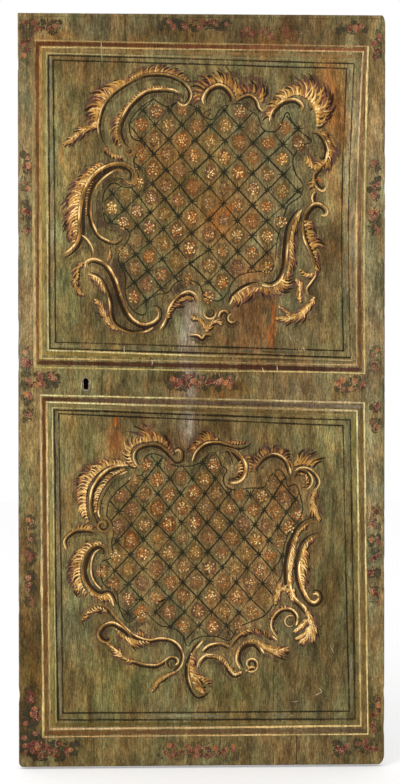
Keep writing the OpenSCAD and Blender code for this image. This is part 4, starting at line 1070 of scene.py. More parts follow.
UPPER_SCROLLS = [
    ([(-66, 1768), (-50, 1759), (-36, 1768), (-30, 1790), (-45, 1815), (-80, 1835), (-120, 1841),
      (-160, 1835), (-200, 1815), (-240, 1786), (-262, 1755), (-272, 1725), (-275, 1700), (-270, 1668),
      (-258, 1645)], 9, 1),
    ([(-62, 1790), (-80, 1798), (-115, 1800), (-150, 1793), (-185, 1765), (-206, 1735), (-218, 1705),
      (-219, 1680), (-210, 1655), (-196, 1640)], 11, 1),
    (ring(-192, 1638, 13, 200, 0.85), 7, 1),
    ([(-204, 1560), (-190, 1552), (-181, 1566), (-186, 1588), (-215, 1602), (-250, 1597), (-285, 1575),
      (-305, 1545), (-318, 1510), (-324, 1470), (-324, 1420), (-332, 1394), (-350, 1372), (-370, 1360)],
     15, 1),
    ([(-196, 1566), (-222, 1587), (-252, 1574), (-278, 1548), (-292, 1515), (-296, 1475), (-289, 1440),
      (-274, 1413), (-252, 1399), (-230, 1394), (-212, 1408)], 9, -1),
    ([(-320, 1413), (-305, 1400), (-293, 1380), (-288, 1356)], 9, -1),
    ([(-308, 1328), (-306, 1342), (-288, 1349), (-262, 1340), (-245, 1322), (-230, 1295), (-220, 1265),
      (-210, 1235), (-199, 1210), (-184, 1190), (-160, 1177), (-135, 1180), (-118, 1192), (-114, 1207),
      (-121, 1220), (-134, 1218)], 12, -1),
    ([(-302, 1312), (-275, 1301), (-260, 1280), (-250, 1255), (-244, 1230), (-242, 1200), (-230, 1175),
      (-205, 1160), (-180, 1155), (-150, 1160), (-128, 1172)], 9, 1),
    ([(-110, 1164), (-100, 1180), (-92, 1202), (-84, 1224), (-65, 1250), (-40, 1263), (-22, 1258),
      (-13, 1244), (-14, 1234)], 11, -1),
    ([(-34, 1150), (-12, 1148), (0, 1140), (8, 1150), (26, 1151)], 9, -1),
    (ring(22, 1209, 17, 160, 0.8, 0.3), 8, 1), (ring(80, 1193, 14, 100, 0.7, 0.3), 7, -1),
    ([(44, 1196), (50, 1210), (62, 1213), (70, 1205)], 9, -1),
    ([(72, 1230), (84, 1253), (110, 1274), (138, 1284), (152, 1281)], 9, 1),
    ([(158, 1284), (185, 1281), (208, 1298), (221, 1335), (225, 1380), (229, 1420), (240, 1452),
      (264, 1484)], 12, 1),
    ([(316, 1470), (329, 1470), (330, 1484), (312, 1497), (292, 1493), (275, 1470), (269, 1440),
      (272, 1410), (280, 1388), (292, 1362), (298, 1335), (300, 1318)], 12, 1),
    ([(303, 1322), (302, 1306), (290, 1288), (279, 1272), (284, 1256), (300, 1251)], 8, 1),
    ([(6, 1762), (4, 1778), (18, 1801), (42, 1812), (62, 1806), (78, 1787), (82, 1768), (70, 1760)],
     12, -1),
    ([(88, 1768), (104, 1780), (126, 1786), (143, 1774), (151, 1752), (162, 1742)], 9, -1),
    ([(180, 1716), (188, 1744), (212, 1768), (240, 1775), (258, 1769), (267, 1756), (260, 1746)], 12, -1),
    ([(292, 1692), (310, 1686), (325, 1667), (334, 1640), (330, 1620), (315, 1612), (306, 1626)], 9, -1),
    ([(334, 1638), (330, 1612), (314, 1594), (299, 1576), (299, 1556), (309, 1540), (322, 1534),
      (330, 1546)], 10, 1),
    ([(301, 1532), (294, 1516), (297, 1500)], 9, 1),
]
# Fringes: spine, reach, side, lean, warmth
UPPER_FRINGES = [
    ([(-40, 1822), (-80, 1840), (-120, 1845), (-160, 1838), (-205, 1817)], 24, -1, -0.35, 0.45),
    ([(-205, 1817), (-240, 1790), (-264, 1757), (-276, 1722), (-278, 1700)], 44, -1, 0.15, 0.55),
    ([(-90, 1803), (-130, 1801), (-165, 1786), (-190, 1763)], 14, -1, 0.3, 0.5),
    ([(-190, 1762), (-210, 1735), (-222, 1705), (-223, 1680), (-216, 1655)], 24, -1, 0.4, 0.35),
    ([(-258, 1650), (-240, 1630), (-215, 1622)], 20, -1, 0.4, 0.4),
    ([(-262, 1600), (-290, 1578), (-312, 1545), (-324, 1510), (-330, 1470), (-330, 1425), (-336, 1398)],
     34, -1, 0.35, 0.75),
    ([(-288, 1592), (-318, 1555), (-336, 1510), (-344, 1460), (-346, 1410)], 34, -1, 0.5, 0.05),
    ([(-285, 1560), (-302, 1520), (-306, 1470)], 10, -1, 0.4, 0.4),
    ([(-312, 1340), (-326, 1325), (-328, 1305), (-335, 1290)], 24, -1, 0.7, 0.6),
    ([(-300, 1312), (-280, 1300), (-264, 1285), (-256, 1268)], 22, -1, 0.6, 0.8),
    ([(-228, 1300), (-217, 1268), (-208, 1240), (-196, 1212)], 13, -1, 0.6, 0.25),
    ([(-98, 1190), (-86, 1215), (-66, 1240), (-42, 1252), (-25, 1248)], 20, -1, 0.5, 0.5),
    ([(80, 1250), (105, 1268), (132, 1276), (160, 1274)], 40, -1, -0.1, 0.6),
    ([(158, 1276), (182, 1272), (204, 1286), (222, 1310)], 34, -1, 0.1, 0.45),
    ([(226, 1310), (232, 1350), (234, 1400), (242, 1440), (258, 1470)], 24, -1, -0.6, 0.6),
    ([(272, 1450), (276, 1420), (284, 1395), (296, 1368)], 44, 1, 0.0, 0.6),
    ([(296, 1372), (302, 1345), (300, 1320)], 18, 1, 0.6, 0.4),
    ([(300, 1316), (282, 1312), (264, 1322)], 18, 1, 0.5, 0.6),
    ([(-6, 1776), (2, 1798), (20, 1812), (45, 1820)], 40, 1, -0.4, 0.3),
    ([(45, 1820), (68, 1812), (86, 1794), (92, 1774)], 46, 1, -0.55, 0.5),
    ([(98, 1786), (120, 1794), (142, 1790), (156, 1768)], 48, 1, -0.35, 0.3),
    ([(182, 1730), (195, 1756), (216, 1774)], 34, 1, -0.2, 0.6),
    ([(216, 1774), (245, 1786), (270, 1782), (292, 1765), (303, 1738), (304, 1706)], 50, 1, -0.2, 0.95),
    ([(240, 1800), (275, 1806), (305, 1788), (322, 1752), (322, 1715)], 38, 1, -0.3, 0.1),
    ([(312, 1690), (330, 1672), (338, 1645), (335, 1615), (322, 1596)], 26, 1, 0.6, 0.35),
    ([(326, 1606), (305, 1590), (288, 1594), (272, 1612)], 34, -1, 0.3, 0.85),
    ([(306, 1560), (296, 1548), (300, 1536)], 20, -1, 0.1, 0.6),
]
UPPER_LEAVES = [
    ([(-272, 1712), (-292, 1698), (-318, 1688), (-342, 1668), (-362, 1656)], 20, 0.55),
    ([(-224, 1163), (-244, 1176), (-257, 1198), (-266, 1220), (-280, 1240)], 20, 0.75),
    ([(300, 1250), (286, 1226), (266, 1206), (236, 1194), (204, 1192)], 22, 0.75),
    ([(262, 1236), (258, 1256), (262, 1276), (252, 1292)], 16, 0.6),
    ([(238, 1198), (224, 1212), (208, 1222)], 16, 0.3),
    ([(12, 1158), (8, 1172), (-6, 1188), (-24, 1196)], 17, 0.75),
    ([(12, 1158), (20, 1175), (34, 1184), (46, 1180)], 17, 0.85),
    ([(-334, 1300), (-336, 1286), (-328, 1266), (-318, 1258)], 16, 0.4),
    ([(-246, 1385), (-244, 1366), (-250, 1346)], 9, 0.4),
]


def draw_cartouche(layer, field, scrolls, fringes, leaves):
    """The dark outline of the trellis field, then fringes, leaves and scrolls over one another."""
    outline = curve(field + field[:1])
    stroke(layer, outline, 6.4, TRELLIS, 0.18, 0.95, "even", shake=0.8)
    stroke(layer, shifted(outline, 7.0), 7.0, (0.26, 0.20, 0.12), 0.15, 0.42, "even", shake=1.5)
    drift = hand(layer["rng"], len(outline), 22)
    for distance, width, cover in ((18, 38, 0.50), (-20, 46, 0.54), (-50, 56, 0.44), (-30, 24, 0.40)):
        stroke(layer, shifted(outline, distance + 6 * drift), width, GLAZE, 0.07, cover + 0.14 * drift,
               "even", shake=4)
    for points, reach, side, lean, warm in fringes:
        fringe(layer, points, reach, side, lean, warm)
    for points, reach, warm in leaves:
        leaf(layer, points, reach, warm)
    for points, width, dark_side in scrolls:
        scroll(layer, points, width, dark_side)


upper_scrolls = new_layer(203)
draw_cartouche(upper_scrolls, UPPER_FIELD, UPPER_SCROLLS, UPPER_FRINGES, UPPER_LEAVES)
build_layer("upper_scrollwork", upper_scrolls, brush_paint)


# ---------------------------------------------------------------- scrollwork of the lower panel
# The same hand drew a second, narrower cartouche below: two tall leafy C scrolls at the sides,
# spirals at the foot with a shell-like leaf between them, and flame-like tufts on top.

LOWER_SCROLLS = [
    ([(-196, 802), (-236, 798), (-268, 776), (-289, 745), (-297, 710), (-296, 680), (-288, 655),
      (-276, 634)], 11, 1),
    ([(-198, 786), (-230, 770), (-255, 742), (-270, 712), (-275, 682), (-271, 664)], 8, 1),
    (ring(-264, 643, 21, 100, -1.35), 8, -1),
    ([(-284, 627), (-305, 631), (-335, 630), (-356, 617), (-366, 600), (-361, 580)], 9, 1),
    ([(-272, 563), (-260, 560), (-255, 574), (-264, 589), (-284, 590), (-302, 575), (-313, 553),
      (-318, 528), (-316, 504), (-305, 481), (-288, 464), (-268, 457), (-250, 461), (-239, 447),
      (-233, 428)], 13, 1),
    ([(-272, 580), (-286, 568), (-294, 544), (-294, 515), (-285, 492), (-268, 474)], 7, 1),
    ([(-311, 366), (-322, 379), (-319, 400), (-301, 420), (-275, 431), (-250, 422), (-235, 403),
      (-215, 382), (-192, 358), (-166, 343), (-140, 337), (-112, 341), (-86, 338), (-64, 323),
      (-51, 297), (-56, 270), (-72, 252), (-92, 244)], 9, -1),
    ([(-188, 346), (-212, 370), (-238, 383), (-262, 376), (-276, 355), (-268, 337), (-250, 332),
      (-242, 344), (-252, 352)], 11, 1),
    ([(-246, 322), (-220, 302), (-196, 287), (-172, 277), (-148, 271), (-122, 270), (-100, 281),
      (-86, 291), (-72, 290), (-65, 280), (-73, 270)], 9, -1),
    ([(-86, 291), (-96, 280), (-93, 265), (-83, 255)], 8, 1),
    ([(2, 337), (-19, 311), (-34, 282), (-38, 246), (-30, 211), (-13, 188), (4, 191), (19, 206)], 9, -1),
    ([(-12, 262), (-5, 282), (14, 295), (42, 293), (62, 279), (72, 258), (86, 243), (104, 249)], 11, -1),
    ([(0, 306), (20, 322), (50, 327), (74, 317)], 10, -1),
    ([(74, 317), (86, 335), (108, 355), (140, 367), (166, 360), (184, 347), (200, 334)], 9, -1),
    ([(104, 258), (93, 284), (98, 310), (116, 326), (140, 328), (156, 311), (164, 298)], 12, -1),
    (ring(131, 271, 20, 240, 1.05, 0.6), 9, 1),
    ([(202, 342), (186, 369), (190, 396), (212, 417), (238, 417), (254, 398), (250, 374)], 9, -1),
    (ring(236, 384, 17, 60, 1.1, 0.6), 6, 1),
    ([(309, 655), (285, 652), (262, 635), (245, 605), (235, 570), (229, 530), (230, 495), (238, 462),
      (246, 447), (262, 432), (278, 414), (288, 396)], 14, -1),
    ([(313, 616), (291, 608), (271, 590), (261, 560), (257, 525), (262, 490), (273, 461), (286, 441),
      (301, 434), (313, 446), (308, 461), (295, 459)], 13, -1),
    ([(248, 786), (264, 795), (286, 792), (303, 778), (312, 757), (303, 737)], 9, -1),
    ([(242, 770), (252, 786), (272, 789), (289, 774), (292, 756), (281, 741), (267, 736)], 10, -1),
    ([(136, 784), (147, 804), (163, 821), (186, 832), (206, 828), (223, 815), (232, 795), (235, 778)],
     10, -1),
    ([(228, 816), (238, 803), (239, 788)], 9, -1),
    ([(62, 849), (85, 841), (105, 822), (115, 800), (111, 775), (96, 761), (74, 757)], 15, -1),
    ([(66, 846), (80, 827), (87, 804)], 8, -1),
    ([(-26, 812), (-18, 834), (-4, 851), (16, 862), (45, 864), (66, 858), (95, 851), (115, 855),
      (131, 867)], 9, -1),
    ([(-170, 799), (-181, 820), (-178, 839), (-164, 852), (-140, 858), (-115, 856), (-96, 842),
      (-80, 825), (-70, 815), (-58, 817), (-54, 832), (-62, 845), (-74, 840)], 9, -1),
]
LOWER_FRINGES = [
    ([(-205, 804), (-250, 800), (-282, 776), (-303, 745), (-309, 700), (-302, 655)], 30, -1, 0.0, 1.0),
    ([(-250, 816), (-290, 795), (-320, 755), (-328, 715)], 24, -1, 0.2, 0.05),
    ([(-205, 790), (-238, 773), (-262, 744), (-277, 712), (-281, 682)], 17, -1, 0.3, 0.9),
    ([(-296, 632), (-318, 633), (-345, 627)], 22, -1, -0.3, 0.5),
    ([(-268, 592), (-298, 582), (-317, 557), (-324, 525), (-321, 492), (-308, 466)], 26, -1, 0.2, 1.0),
    ([(-310, 590), (-335, 550), (-340, 500), (-325, 460)], 22, -1, 0.2, 0.05),
    ([(-300, 470), (-275, 454), (-252, 456), (-240, 440)], 16, -1, 0.4, 0.75),
    ([(-320, 392), (-302, 416), (-276, 427), (-256, 420)], 18, -1, 0.5, 0.6),
    ([(-228, 368), (-206, 348), (-180, 338), (-150, 334)], 24, -1, 0.6, 0.8),
    ([(-172, 352), (-150, 344), (-132, 342)], 20, 1, -0.4, 0.3),
    ([(-30, 300), (-33, 270), (-30, 240), (-20, 212), (-4, 196)], 30, 1, 0.5, 0.8),
    ([(-14, 240), (0, 226), (16, 214)], 20, 1, 0.2, 0.6),
    ([(4, 300), (28, 300), (52, 292), (68, 272)], 18, -1, 0.3, 0.7),
    ([(66, 270), (72, 254), (88, 240), (104, 246)], 20, 1, 0.4, 0.85),
    ([(100, 350), (128, 364), (160, 362), (186, 346)], 18, -1, 0.4, 0.25),
    ([(96, 290), (102, 312), (120, 328), (146, 330), (160, 314)], 13, 1, 0.5, 0.6),
    ([(186, 372), (192, 398), (214, 420), (238, 420)], 16, 1, -0.3, 0.15),
    ([(280, 646), (256, 626), (243, 598), (236, 560), (233, 520), (236, 480)], 18, 1, 0.6, 0.9),
    ([(300, 612), (282, 602), (268, 580), (262, 550), (262, 515), (268, 480)], 26, 1, 0.5, 0.9),
    ([(200, 462), (216, 468), (236, 456)], 32, 1, 0.0, 0.75),
    ([(250, 800), (268, 804), (292, 800)], 48, 1, 0.35, 0.45),
    ([(256, 782), (276, 780), (286, 764), (283, 748)], 15, -1, 0.4, 0.7),
    ([(140, 795), (160, 824), (186, 838), (210, 832), (228, 816)], 26, 1, 0.0, 0.2),
    ([(104, 812), (110, 796), (107, 778), (96, 766)], 24, -1, 0.2, 0.75),
    ([(70, 862), (90, 858), (118, 862)], 18, 1, 0.4, 0.3),
    ([(112, 830), (124, 812), (126, 790)], 20, 1, 0.3, 0.3),
    ([(-22, 838), (-8, 856), (14, 868), (40, 869)], 34, 1, -0.1, 0.55),
    ([(-176, 800), (-190, 824), (-186, 848), (-166, 862), (-138, 866)], 26, 1, 0.1, 0.95),
    ([(-146, 864), (-126, 868), (-108, 862)], 54, 1, -0.25, 0.8),
    ([(-108, 862), (-92, 848), (-78, 832)], 30, 1, -0.3, 0.1),
]
LOWER_LEAVES = [
    ([(-178, 279), (-202, 286), (-224, 302), (-248, 324)], 19, 0.55),
    ([(-72, 250), (-96, 240), (-116, 226), (-131, 204)], 15, 0.6),
    ([(150, 330), (172, 316), (196, 306), (222, 310)], 25, 0.75),
    ([(276, 418), (287, 396), (292, 372), (284, 348), (268, 332)], 24, 0.95),
    ([(288, 394), (270, 376), (251, 360)], 17, 0.95), ([(291, 372), (278, 352), (256, 342)], 16, 0.95),
    ([(296, 384), (302, 358), (294, 334)], 15, 0.85),
    ([(240, 464), (218, 472), (202, 456), (196, 436)], 17, 0.85),
    ([(246, 470), (241, 456), (240, 446)], 16, 1.0),
    ([(304, 738), (296, 712), (299, 686), (311, 662)], 22, 0.9),
    ([(118, 252), (126, 262), (138, 262)], 12, 0.9),
]
lower_scrolls = new_layer(204)
draw_cartouche(lower_scrolls, LOWER_FIELD, LOWER_SCROLLS, LOWER_FRINGES, LOWER_LEAVES)
build_layer("lower_scrollwork", lower_scrolls, brush_paint)


# ---------------------------------------------------------------- flower sprays on the margins
# Small sprays of roses and dark leaves sit on the margins and on the middle rail. They are the
# most worn part of the painting, and many have gone to maroon shadows.

MAROON = (0.115, 0.028, 0.022)
ROSE = (0.23, 0.082, 0.050)
PALE_ROSE = (0.50, 0.29, 0.165)
ORANGE_ROSE = (0.40, 0.140, 0.050)
# Sprays: middle x and z, half width, half height, how pale, how strongly they have lasted
SPRAYS = [
    (-432, 1966, 46, 12, 0.25, 0.85), (-392, 1962, 12, 14, 0.9, 0.9), (-466, 1915, 10, 46, 0.35, 0.7),
    (-466, 1606, 10, 26, 0.9, 0.85), (-466, 1545, 9, 22, 0.3, 0.7), (-466, 1474, 10, 24, 0.45, 0.75),
    (-466, 1425, 8, 14, 0.3, 0.7), (-12, 1972, 102, 13, 0.10, 0.95), (395, 1965, 40, 12, 0.3, 0.85),
    (467, 1915, 13, 40, 0.25, 0.85), (-466, 1108, 8, 12, 0.5, 0.6), (-466, 1068, 11, 26, 0.5, 0.75),
    (-465, 1022, 13, 14, 0.8, 0.75), (-414, 1030, 36, 18, 0.25, 0.95), (-390, 1029, 9, 10, 1.0, 0.95),
    (0, 1025, 96, 19, 0.5, 0.85), (-60, 1025, 22, 20, 0.0, 0.9), (180, 1950, 90, 16, 0.05, 0.6),
    (395, 1018, 42, 17, 0.35, 0.8), (462, 1600, 11, 13, 0.4, 0.8), (461, 1549, 13, 17, 0.4, 0.9),
    (461, 1520, 12, 12, 0.2, 0.8), (460, 1470, 13, 20, 0.6, 0.85), (460, 1428, 11, 16, 0.2, 0.8),
    (461, 1106, 11, 14, 0.3, 0.7), (461, 1068, 12, 16, 0.4, 0.7), (464, 955, 13, 13, 0.4, 0.85),
    (464, 908, 13, 14, 0.2, 0.85), (462, 682, 10, 12, 0.0, 0.7), (462, 650, 15, 14, 0.6, 0.8),
    (462, 600, 15, 12, 0.4, 0.85), (462, 560, 13, 14, 0.3, 0.8), (462, 514, 15, 15, 0.3, 0.9),
    (464, 465, 12, 14, 0.7, 0.8), (466, 436, 9, 12, 0.0, 0.6), (466, 160, 14, 20, 0.5, 0.75),
    (466, 128, 11, 14, 0.0, 0.7), (464, 95, 11, 14, 0.4, 0.7), (-466, 980, 12, 17, 0.7, 0.85),
    (-463, 936, 11, 11, 0.6, 0.8), (-456, 652, 8, 16, 1.0, 0.85), (-456, 606, 9, 12, 0.3, 0.8),
    (-456, 562, 13, 20, 0.15, 0.9), (-456, 514, 11, 13, 0.7, 0.85), (-458, 478, 12, 14, 0.9, 0.8),
    (-460, 444, 9, 12, 0.0, 0.75), (-457, 186, 12, 26, 0.1, 0.75), (-452, 132, 22, 30, 0.25, 0.95),
    (-455, 62, 26, 36, 0.3, 0.95), (-396, 44, 62, 24, 0.3, 0.9), (-5, 40, 108, 22, 0.3, 0.7),
    (372, 44, 22, 16, 0.2, 0.85), (438, 50, 32, 18, 0.25, 0.75),
]


BED_BROWN = (0.052, 0.040, 0.022)


def draw_spray(layer, x, z, half_w, half_h, pale, strength):
    """A dark soft bed, pointed leaves that stick out of it, and roses of three to five petals
    laid round a heart; the number of each grows with the spray's area."""
    rng = layer["rng"]
    area = half_w * half_h
    for _ in range(int(area / 60) + 3):
        bx, bz = x + rng.uniform(-1, 1) * half_w, z + rng.uniform(-1, 1) * half_h
        dab(layer, bx, bz, rng.uniform(10, 15), BED_BROWN, 0.10, 0.58 * strength + 0.15)
    for _ in range(int(area / 32) + 6):
        angle = rng.uniform(0, 2 * np.pi)
        root = np.array([x + 0.8 * half_w * rng.uniform(-1, 1), z + 0.7 * half_h * rng.uniform(-1, 1)])
        out = np.array([np.cos(angle), np.sin(angle)])
        bend = np.array([-out[1], out[0]]) * rng.uniform(-3, 3)
        reach = rng.uniform(8, 16)
        stroke(layer, curve([root, root + 0.5 * reach * out + bend, root + reach * out], 2.5),
               rng.uniform(5, 7.5), BLACK_GREEN, 0.18, 1.08 * strength, "swell")
    for _ in range(int(area / 78) + 1):
        rx, rz = x + 0.85 * half_w * rng.uniform(-1, 1), z + 0.8 * half_h * rng.uniform(-1, 1)
        petal = MAROON
        if rng.random() <= 0.35 + 0.6 * pale:
            petal = ROSE if rng.random() > pale * 0.5 else ORANGE_ROSE
        r = min(rng.uniform(6.2, 10.5), half_w)
        dab(layer, rx, rz, r, petal, 0.22, strength)
        for _ in range(int(rng.integers(3, 6))):
            angle = rng.uniform(0, 2 * np.pi)
            a, b = angle, angle + rng.uniform(1.0, 1.8)
            arc = [(rx + 0.62 * r * np.cos(s), rz + 0.62 * r * np.sin(s)) for s in (a, 0.5 * (a + b), b)]
            light = PALE_ROSE if rng.random() < pale else ROSE
            stroke(layer, curve(arc, 2.0), rng.uniform(3.6, 5.6), light, 0.30, 0.95 * strength, "swell",
                   under=petal)
        if rng.random() < 0.3 + 0.5 * pale:
            dab(layer, rx + rng.uniform(-2, 2), rz + rng.uniform(-2, 2), 1.9, PALE_ROSE, 0.34, strength)


sprays = new_layer(205)
for x, z, half_w, half_h, pale, strength in SPRAYS:
    draw_spray(sprays, x, z, half_w, half_h, pale, strength)
build_layer("margin_sprays", sprays, brush_paint)


# ---------------------------------------------------------------- knocks and scratches
# Years of use have left raw orange undercoat where knocks took the lacquer off, white scratches,
# and a dark line of dirt under the top edge. They lie over the painting as the last strokes.

UNDERCOAT = (0.46, 0.115, 0.018)
SCRATCH_WHITE = (0.66, 0.50, 0.33)
EDGE_DIRT = (0.07, 0.035, 0.02)
# Knocks down to the undercoat: x and z of the two ends, width, how strongly
ABRASIONS = [
    ((-232, 937), (-231, 904), 13, 0.95), ((-230, 900), (-214, 868), 8, 0.55),
    ((186, 1232), (190, 1178), 9, 0.80), ((184, 1180), (176, 1112), 10, 0.70),
    ((160, 1200), (168, 1120), 10, 0.52), ((-371, 1658), (-372, 1592), 11, 0.52),
    ((348, 1850), (352, 1770), 34, 0.40), ((352, 1735), (354, 1684), 24, 0.40),
    ((322, 1810), (330, 1740), 26, 0.36), ((60, 1455), (92, 1506), 16, 0.62),
    ((302, 1572), (322, 1556), 14, 0.55), ((120, 1190), (150, 1150), 30, 0.40),
    ((40, 990), (100, 985), 12, 0.50), ((-356, 1190), (-352, 1100), 9, 0.42),
    ((170, 1925), (200, 1905), 22, 0.48), ((205, 770), (218, 735), 26, 0.46),
]
# White scratches: three places along each, and the width
SCRATCHES = [
    ([(231, 1154), (235, 1142), (240, 1131)], 2.6), ([(252, 1116), (262, 1108), (270, 1122)], 2.6),
    ([(268, 1120), (271, 1110), (274, 1104)], 2.4), ([(300, 186), (310, 190), (322, 196)], 3.4),
    ([(312, 206), (318, 200), (321, 192)], 2.6), ([(238, 171), (248, 170), (258, 173)], 2.6),
    ([(343, 326), (345, 314), (352, 300)], 3.0), ([(-267, 1932), (-266, 1898), (-265, 1868)], 3.4),
    ([(-265, 1860), (-265, 1836), (-266, 1806)], 2.2), ([(199, 1070), (200, 1060), (199, 1050)], 3.0),
    ([(-206, 1122), (-208, 1112), (-205, 1100)], 3.0), ([(-134, 1086), (-132, 1076), (-134, 1068)], 2.6),
    ([(362, 214), (364, 206), (366, 202)], 3.0), ([(250, 1016), (256, 1008), (264, 1000)], 2.6),
    ([(242, 206), (243, 198), (242, 192)], 2.4), ([(160, 1064), (163, 1054), (168, 1046)], 3.4),
]

damage = new_layer(206)
for start, end, width, strength in ABRASIONS:
    middle = 0.5 * (np.array(start) + np.array(end)) + damage["rng"].uniform(-3, 3, 2)
    path = curve([start, middle, end])
    stroke(damage, path, width, UNDERCOAT, 0.12, strength, "swell", shake=1.5)
    stroke(damage, shifted(path, 0.25 * width), 0.5 * width, np.array(UNDERCOAT) * 0.6, 0.15,
           strength, "swell", shake=2.0)
for points, width in SCRATCHES:
    stroke(damage, curve(points, 2.5), width, SCRATCH_WHITE, 0.5, 0.85, "swell", shake=0.6)
for start, end in (((-484, 1993), (300, 1991)), ((300, 1991), (476, 1990))):
    path = curve([start, (0.5 * (start[0] + end[0]), 1992), end], 8)
    stroke(damage, path, 7, EDGE_DIRT, 0.15, 0.7, "even", shake=1.0)
build_layer("knocks_and_scratches", damage, brush_paint)


# ---------------------------------------------------------------- battens and pegs on the back
# Three softwood battens are slid into dovetailed housings across the back and held by turned
# hardwood pegs. They are bare and grey with dirt, and wear has eased their arrises round.
# Their grain runs across the door.


def eased(node, width, material, body, name, angle=35.0):
    """A piece that stands for a CAD node: the same solid with its sharp edges eased by a bevel
    of this width, which is how wear leaves them."""
    mesh = parts[node].data.copy()
    mesh.transform(parts[node].matrix_world)
    mesh.materials.clear()
    mesh.materials.append(material)
    thing = bpy.data.objects.new(name, mesh)
    bpy.context.scene.collection.objects.link(thing)
    bevel = thing.modifiers.new("eased", "BEVEL")
    bevel.width, bevel.segments, bevel.limit_method = width * mm, 2, "ANGLE"
    bevel.angle_limit = np.radians(angle)
    bevel.harden_normals = False
    solid = thing.evaluated_get(bpy.context.evaluated_depsgraph_get())
    thing.data = bpy.data.meshes.new_from_object(solid)
    thing.modifiers.clear()
    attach(thing, body)
    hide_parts(node)
    return thing


def bare_wood(name, swap, pale, dark):
    """Weathered bare wood whose grain runs along the axis that comes third after the swap."""
    material, tree, shader, place = new_material(name, 0.82, 0.15)
    split = node_in(tree, "ShaderNodeSeparateXYZ", {0: place}).outputs
    turned = node_in(tree, "ShaderNodeCombineXYZ", {0: split[swap[0]], 1: split[swap[1]], 2: split[swap[2]]})
    wood = use_group(tree, timber, {"Place": turned.outputs[0], "Pale": pale, "Dark": dark})
    tree.links.new(wood["Color"], shader.inputs["Base Color"])
    bumped(tree, shader, wood["Height"], 0.0006, 0.8)
    return material


batten_wood = bare_wood("batten_wood", (2, 1, 0), (0.30, 0.205, 0.12), (0.105, 0.066, 0.038))
peg_wood = bare_wood("peg_wood", (0, 2, 1), (0.22, 0.13, 0.07), (0.085, 0.046, 0.024))
for height in ("lower", "middle", "upper"):
    eased(height + "_batten", 1.2, batten_wood, "leaf", height + "_worn_batten")
    eased(height + "_batten_pegs", 0.5, peg_wood, "leaf", height + "_worn_pegs")


# ---------------------------------------------------------------- hinges, nails and lock
# The strap hinges, their pintles, the rose-headed nails and the box lock were forged by hand.
# All of it has rusted brown with orange bloom in the pits, and the bolt is rubbed bright.

rust, given, result = new_group("rusted_iron", {"Place": "", "Rubbed": 0.0},
                                {"Color": tuple, "Height": float, "Roughness": float})
scale = streak_noise(rust, given["Place"], (60.0, 60.0, 60.0), 5.0, 0.6)
bloom = streak_noise(rust, given["Place"], (140.0, 140.0, 140.0), 4.0, 0.65)
pitting = streak_noise(rust, given["Place"], (420.0, 420.0, 420.0), 3.0, 0.6)
colour = mixed(rust, between(rust, scale, 0.38, 0.62), (0.030, 0.020, 0.015), (0.075, 0.036, 0.020))
colour = mixed(rust, between(rust, bloom, 0.52, 0.68, 0.0, 0.85), colour, (0.185, 0.062, 0.018))
colour = mixed(rust, between(rust, pitting, 0.60, 0.70, 0.0, 0.6), colour, (0.30, 0.120, 0.035))
worn = maths(rust, "MULTIPLY", given["Rubbed"], between(rust, scale, 0.40, 0.56))
colour = mixed(rust, worn, colour, (0.20, 0.175, 0.150))
height = maths(rust, "ADD", maths(rust, "MULTIPLY", scale, 0.8), maths(rust, "MULTIPLY", pitting, -0.35))
for socket, value in (("Color", colour), ("Height", height),
                      ("Roughness", between(rust, worn, 0, 1, 0.80, 0.42))):
    rust.links.new(value, result.inputs[socket])


def iron(name, rubbed, metallic, depth):
    """Rusted iron, more or less rubbed bright, pitted to a depth in metres."""
    material, tree, shader, place = new_material(name, 0.8, 0.4)
    shader.inputs["Metallic"].default_value = metallic
    skin = use_group(tree, rust, {"Place": place, "Rubbed": rubbed})
    tree.links.new(skin["Color"], shader.inputs["Base Color"])
    tree.links.new(skin["Roughness"], shader.inputs["Roughness"])
    bumped(tree, shader, skin["Height"], depth, 0.9)
    return material


hinge_iron = iron("hinge_iron", 0.15, 0.35, 0.0010)
nail_iron = iron("nail_iron", 0.10, 0.30, 0.0006)
lock_iron = iron("lock_iron", 0.20, 0.40, 0.0008)
bolt_iron = iron("bolt_iron", 0.90, 0.70, 0.0003)
for height in ("lower", "upper"):
    eased(height + "_strap", 0.8, hinge_iron, "leaf", height + "_forged_strap")
    eased(height + "_strap_nails", 0.6, nail_iron, "leaf", height + "_forged_nails")
    eased(height + "_pintle", 0.8, hinge_iron, "pintles", height + "_forged_pintle")
eased("lock_case", 0.8, lock_iron, "leaf", "rusted_lock_case")
eased("lock_nails", 0.6, nail_iron, "leaf", "forged_lock_nails")
eased("lock_bolt", 0.6, bolt_iron, "bolt", "filed_lock_bolt")
for node in ("bolt_stump", "bolt_spring"):
    parts[node].data.materials.clear()
    parts[node].data.materials.append(bolt_iron)
parts["spring_rivet"].data.materials.clear()
parts["spring_rivet"].data.materials.append(nail_iron)

# The liner of the keyhole is thin brass, dull and tarnished in patches
brass, tree, shader, place = new_material("dull_brass", 0.5, 0.5)
shader.inputs["Metallic"].default_value = 0.75
tarnish = between(tree, streak_noise(tree, place, (300.0, 300.0, 300.0), 4.0, 0.6), 0.42, 0.60)
tree.links.new(mixed(tree, tarnish, (0.40, 0.30, 0.18), (0.13, 0.085, 0.050)), shader.inputs["Base Color"])
tree.links.new(between(tree, tarnish, 0, 1, 0.38, 0.75), shader.inputs["Roughness"])
eased("keyhole_liner", 0.15, brass, "leaf", "worn_keyhole_liner")


# ---------------------------------------------------------------- floor, light and camera
# A pale studio floor, one broad lamp and an even sky. The camera stands a little left of the
# middle, level with the keyhole, and looks straight at the painted face.

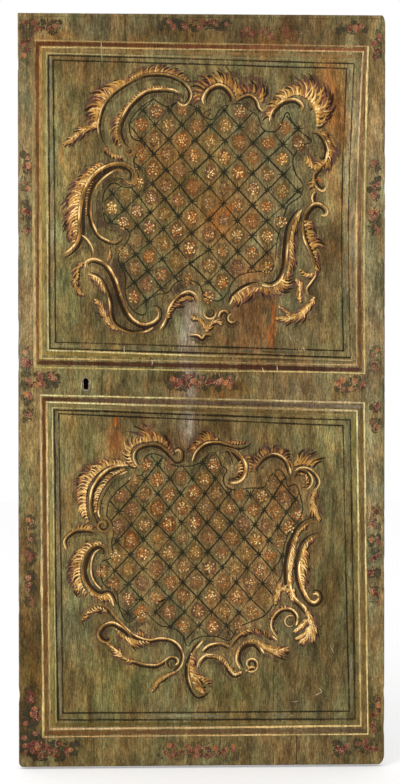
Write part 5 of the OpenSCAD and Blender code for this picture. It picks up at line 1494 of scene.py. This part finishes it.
FLOOR_SIDE, FLOOR_FRONT, FLOOR_BACK, FLOOR_Z = 9000, -7000, 9000, -6
floor_corners = [(-FLOOR_SIDE, FLOOR_FRONT, FLOOR_Z), (FLOOR_SIDE, FLOOR_FRONT, FLOOR_Z),
                 (FLOOR_SIDE, FLOOR_BACK, FLOOR_Z), (-FLOOR_SIDE, FLOOR_BACK, FLOOR_Z)]
floor = make_mesh("studio_floor", floor_corners, [[0, 1, 2, 3]])
floor_paint, tree, shader, place = new_material("studio_floor", 0.9, 0.1)
shader.inputs["Base Color"].default_value = (0.86, 0.86, 0.86, 1)
seen = node_in(tree, "ShaderNodeLightPath")
glow = node_in(tree, "ShaderNodeEmission", {"Color": (1, 1, 1, 1), "Strength": 0.30})
dark = node_in(tree, "ShaderNodeEmission", {"Strength": 0.0})
both = node_in(tree, "ShaderNodeMixShader", {0: seen.outputs["Is Camera Ray"], 1: dark.outputs[0],
                                             2: glow.outputs[0]})
total = node_in(tree, "ShaderNodeAddShader", {0: shader.outputs[0], 1: both.outputs[0]})
tree.links.new(total.outputs[0], tree.nodes["Material Output"].inputs["Surface"])
floor.data.materials.append(floor_paint)

world = bpy.data.worlds.new("studio")
bpy.context.scene.world = world
world.use_nodes = True
tree = world.node_tree
tree.nodes.clear()
seen = node_in(tree, "ShaderNodeLightPath")
plain = maths(tree, "MAXIMUM", seen.outputs["Is Camera Ray"], seen.outputs["Is Transmission Ray"])
sky = node_in(tree, "ShaderNodeBackground", {"Color": (1, 1, 1, 1), "Strength": 0.78})
white = node_in(tree, "ShaderNodeBackground", {"Color": (1, 1, 1, 1), "Strength": 1.0})
chosen = node_in(tree, "ShaderNodeMixShader", {0: plain, 1: sky.outputs[0], 2: white.outputs[0]})
end = node_in(tree, "ShaderNodeOutputWorld")
tree.links.new(chosen.outputs[0], end.inputs["Surface"])

lamp_data = bpy.data.lights.new("broad_lamp", "AREA")
lamp_data.energy, lamp_data.size = 60, 2.2
lamp = bpy.data.objects.new("broad_lamp", lamp_data)
lamp.location = (-2.2, -2.6, 3.2)
lamp.rotation_euler = (0.98, 0.0, -0.72)
bpy.context.scene.collection.objects.link(lamp)

camera_data = bpy.data.cameras.new("camera")
camera_data.sensor_fit, camera_data.sensor_height, camera_data.lens = "VERTICAL", 36.0, 77.5
camera = bpy.data.objects.new("camera", camera_data)
camera.location = (-0.153, -4.5, 1.065)
LOOKS_DOWN, TURNED_RIGHT = 0.86, 1.88     # degrees
camera.rotation_euler = (np.radians(90 - LOOKS_DOWN), 0.0, np.radians(-TURNED_RIGHT))
bpy.context.scene.collection.objects.link(camera)
bpy.context.scene.camera = camera
bpy.context.scene.view_settings.view_transform = "Standard"
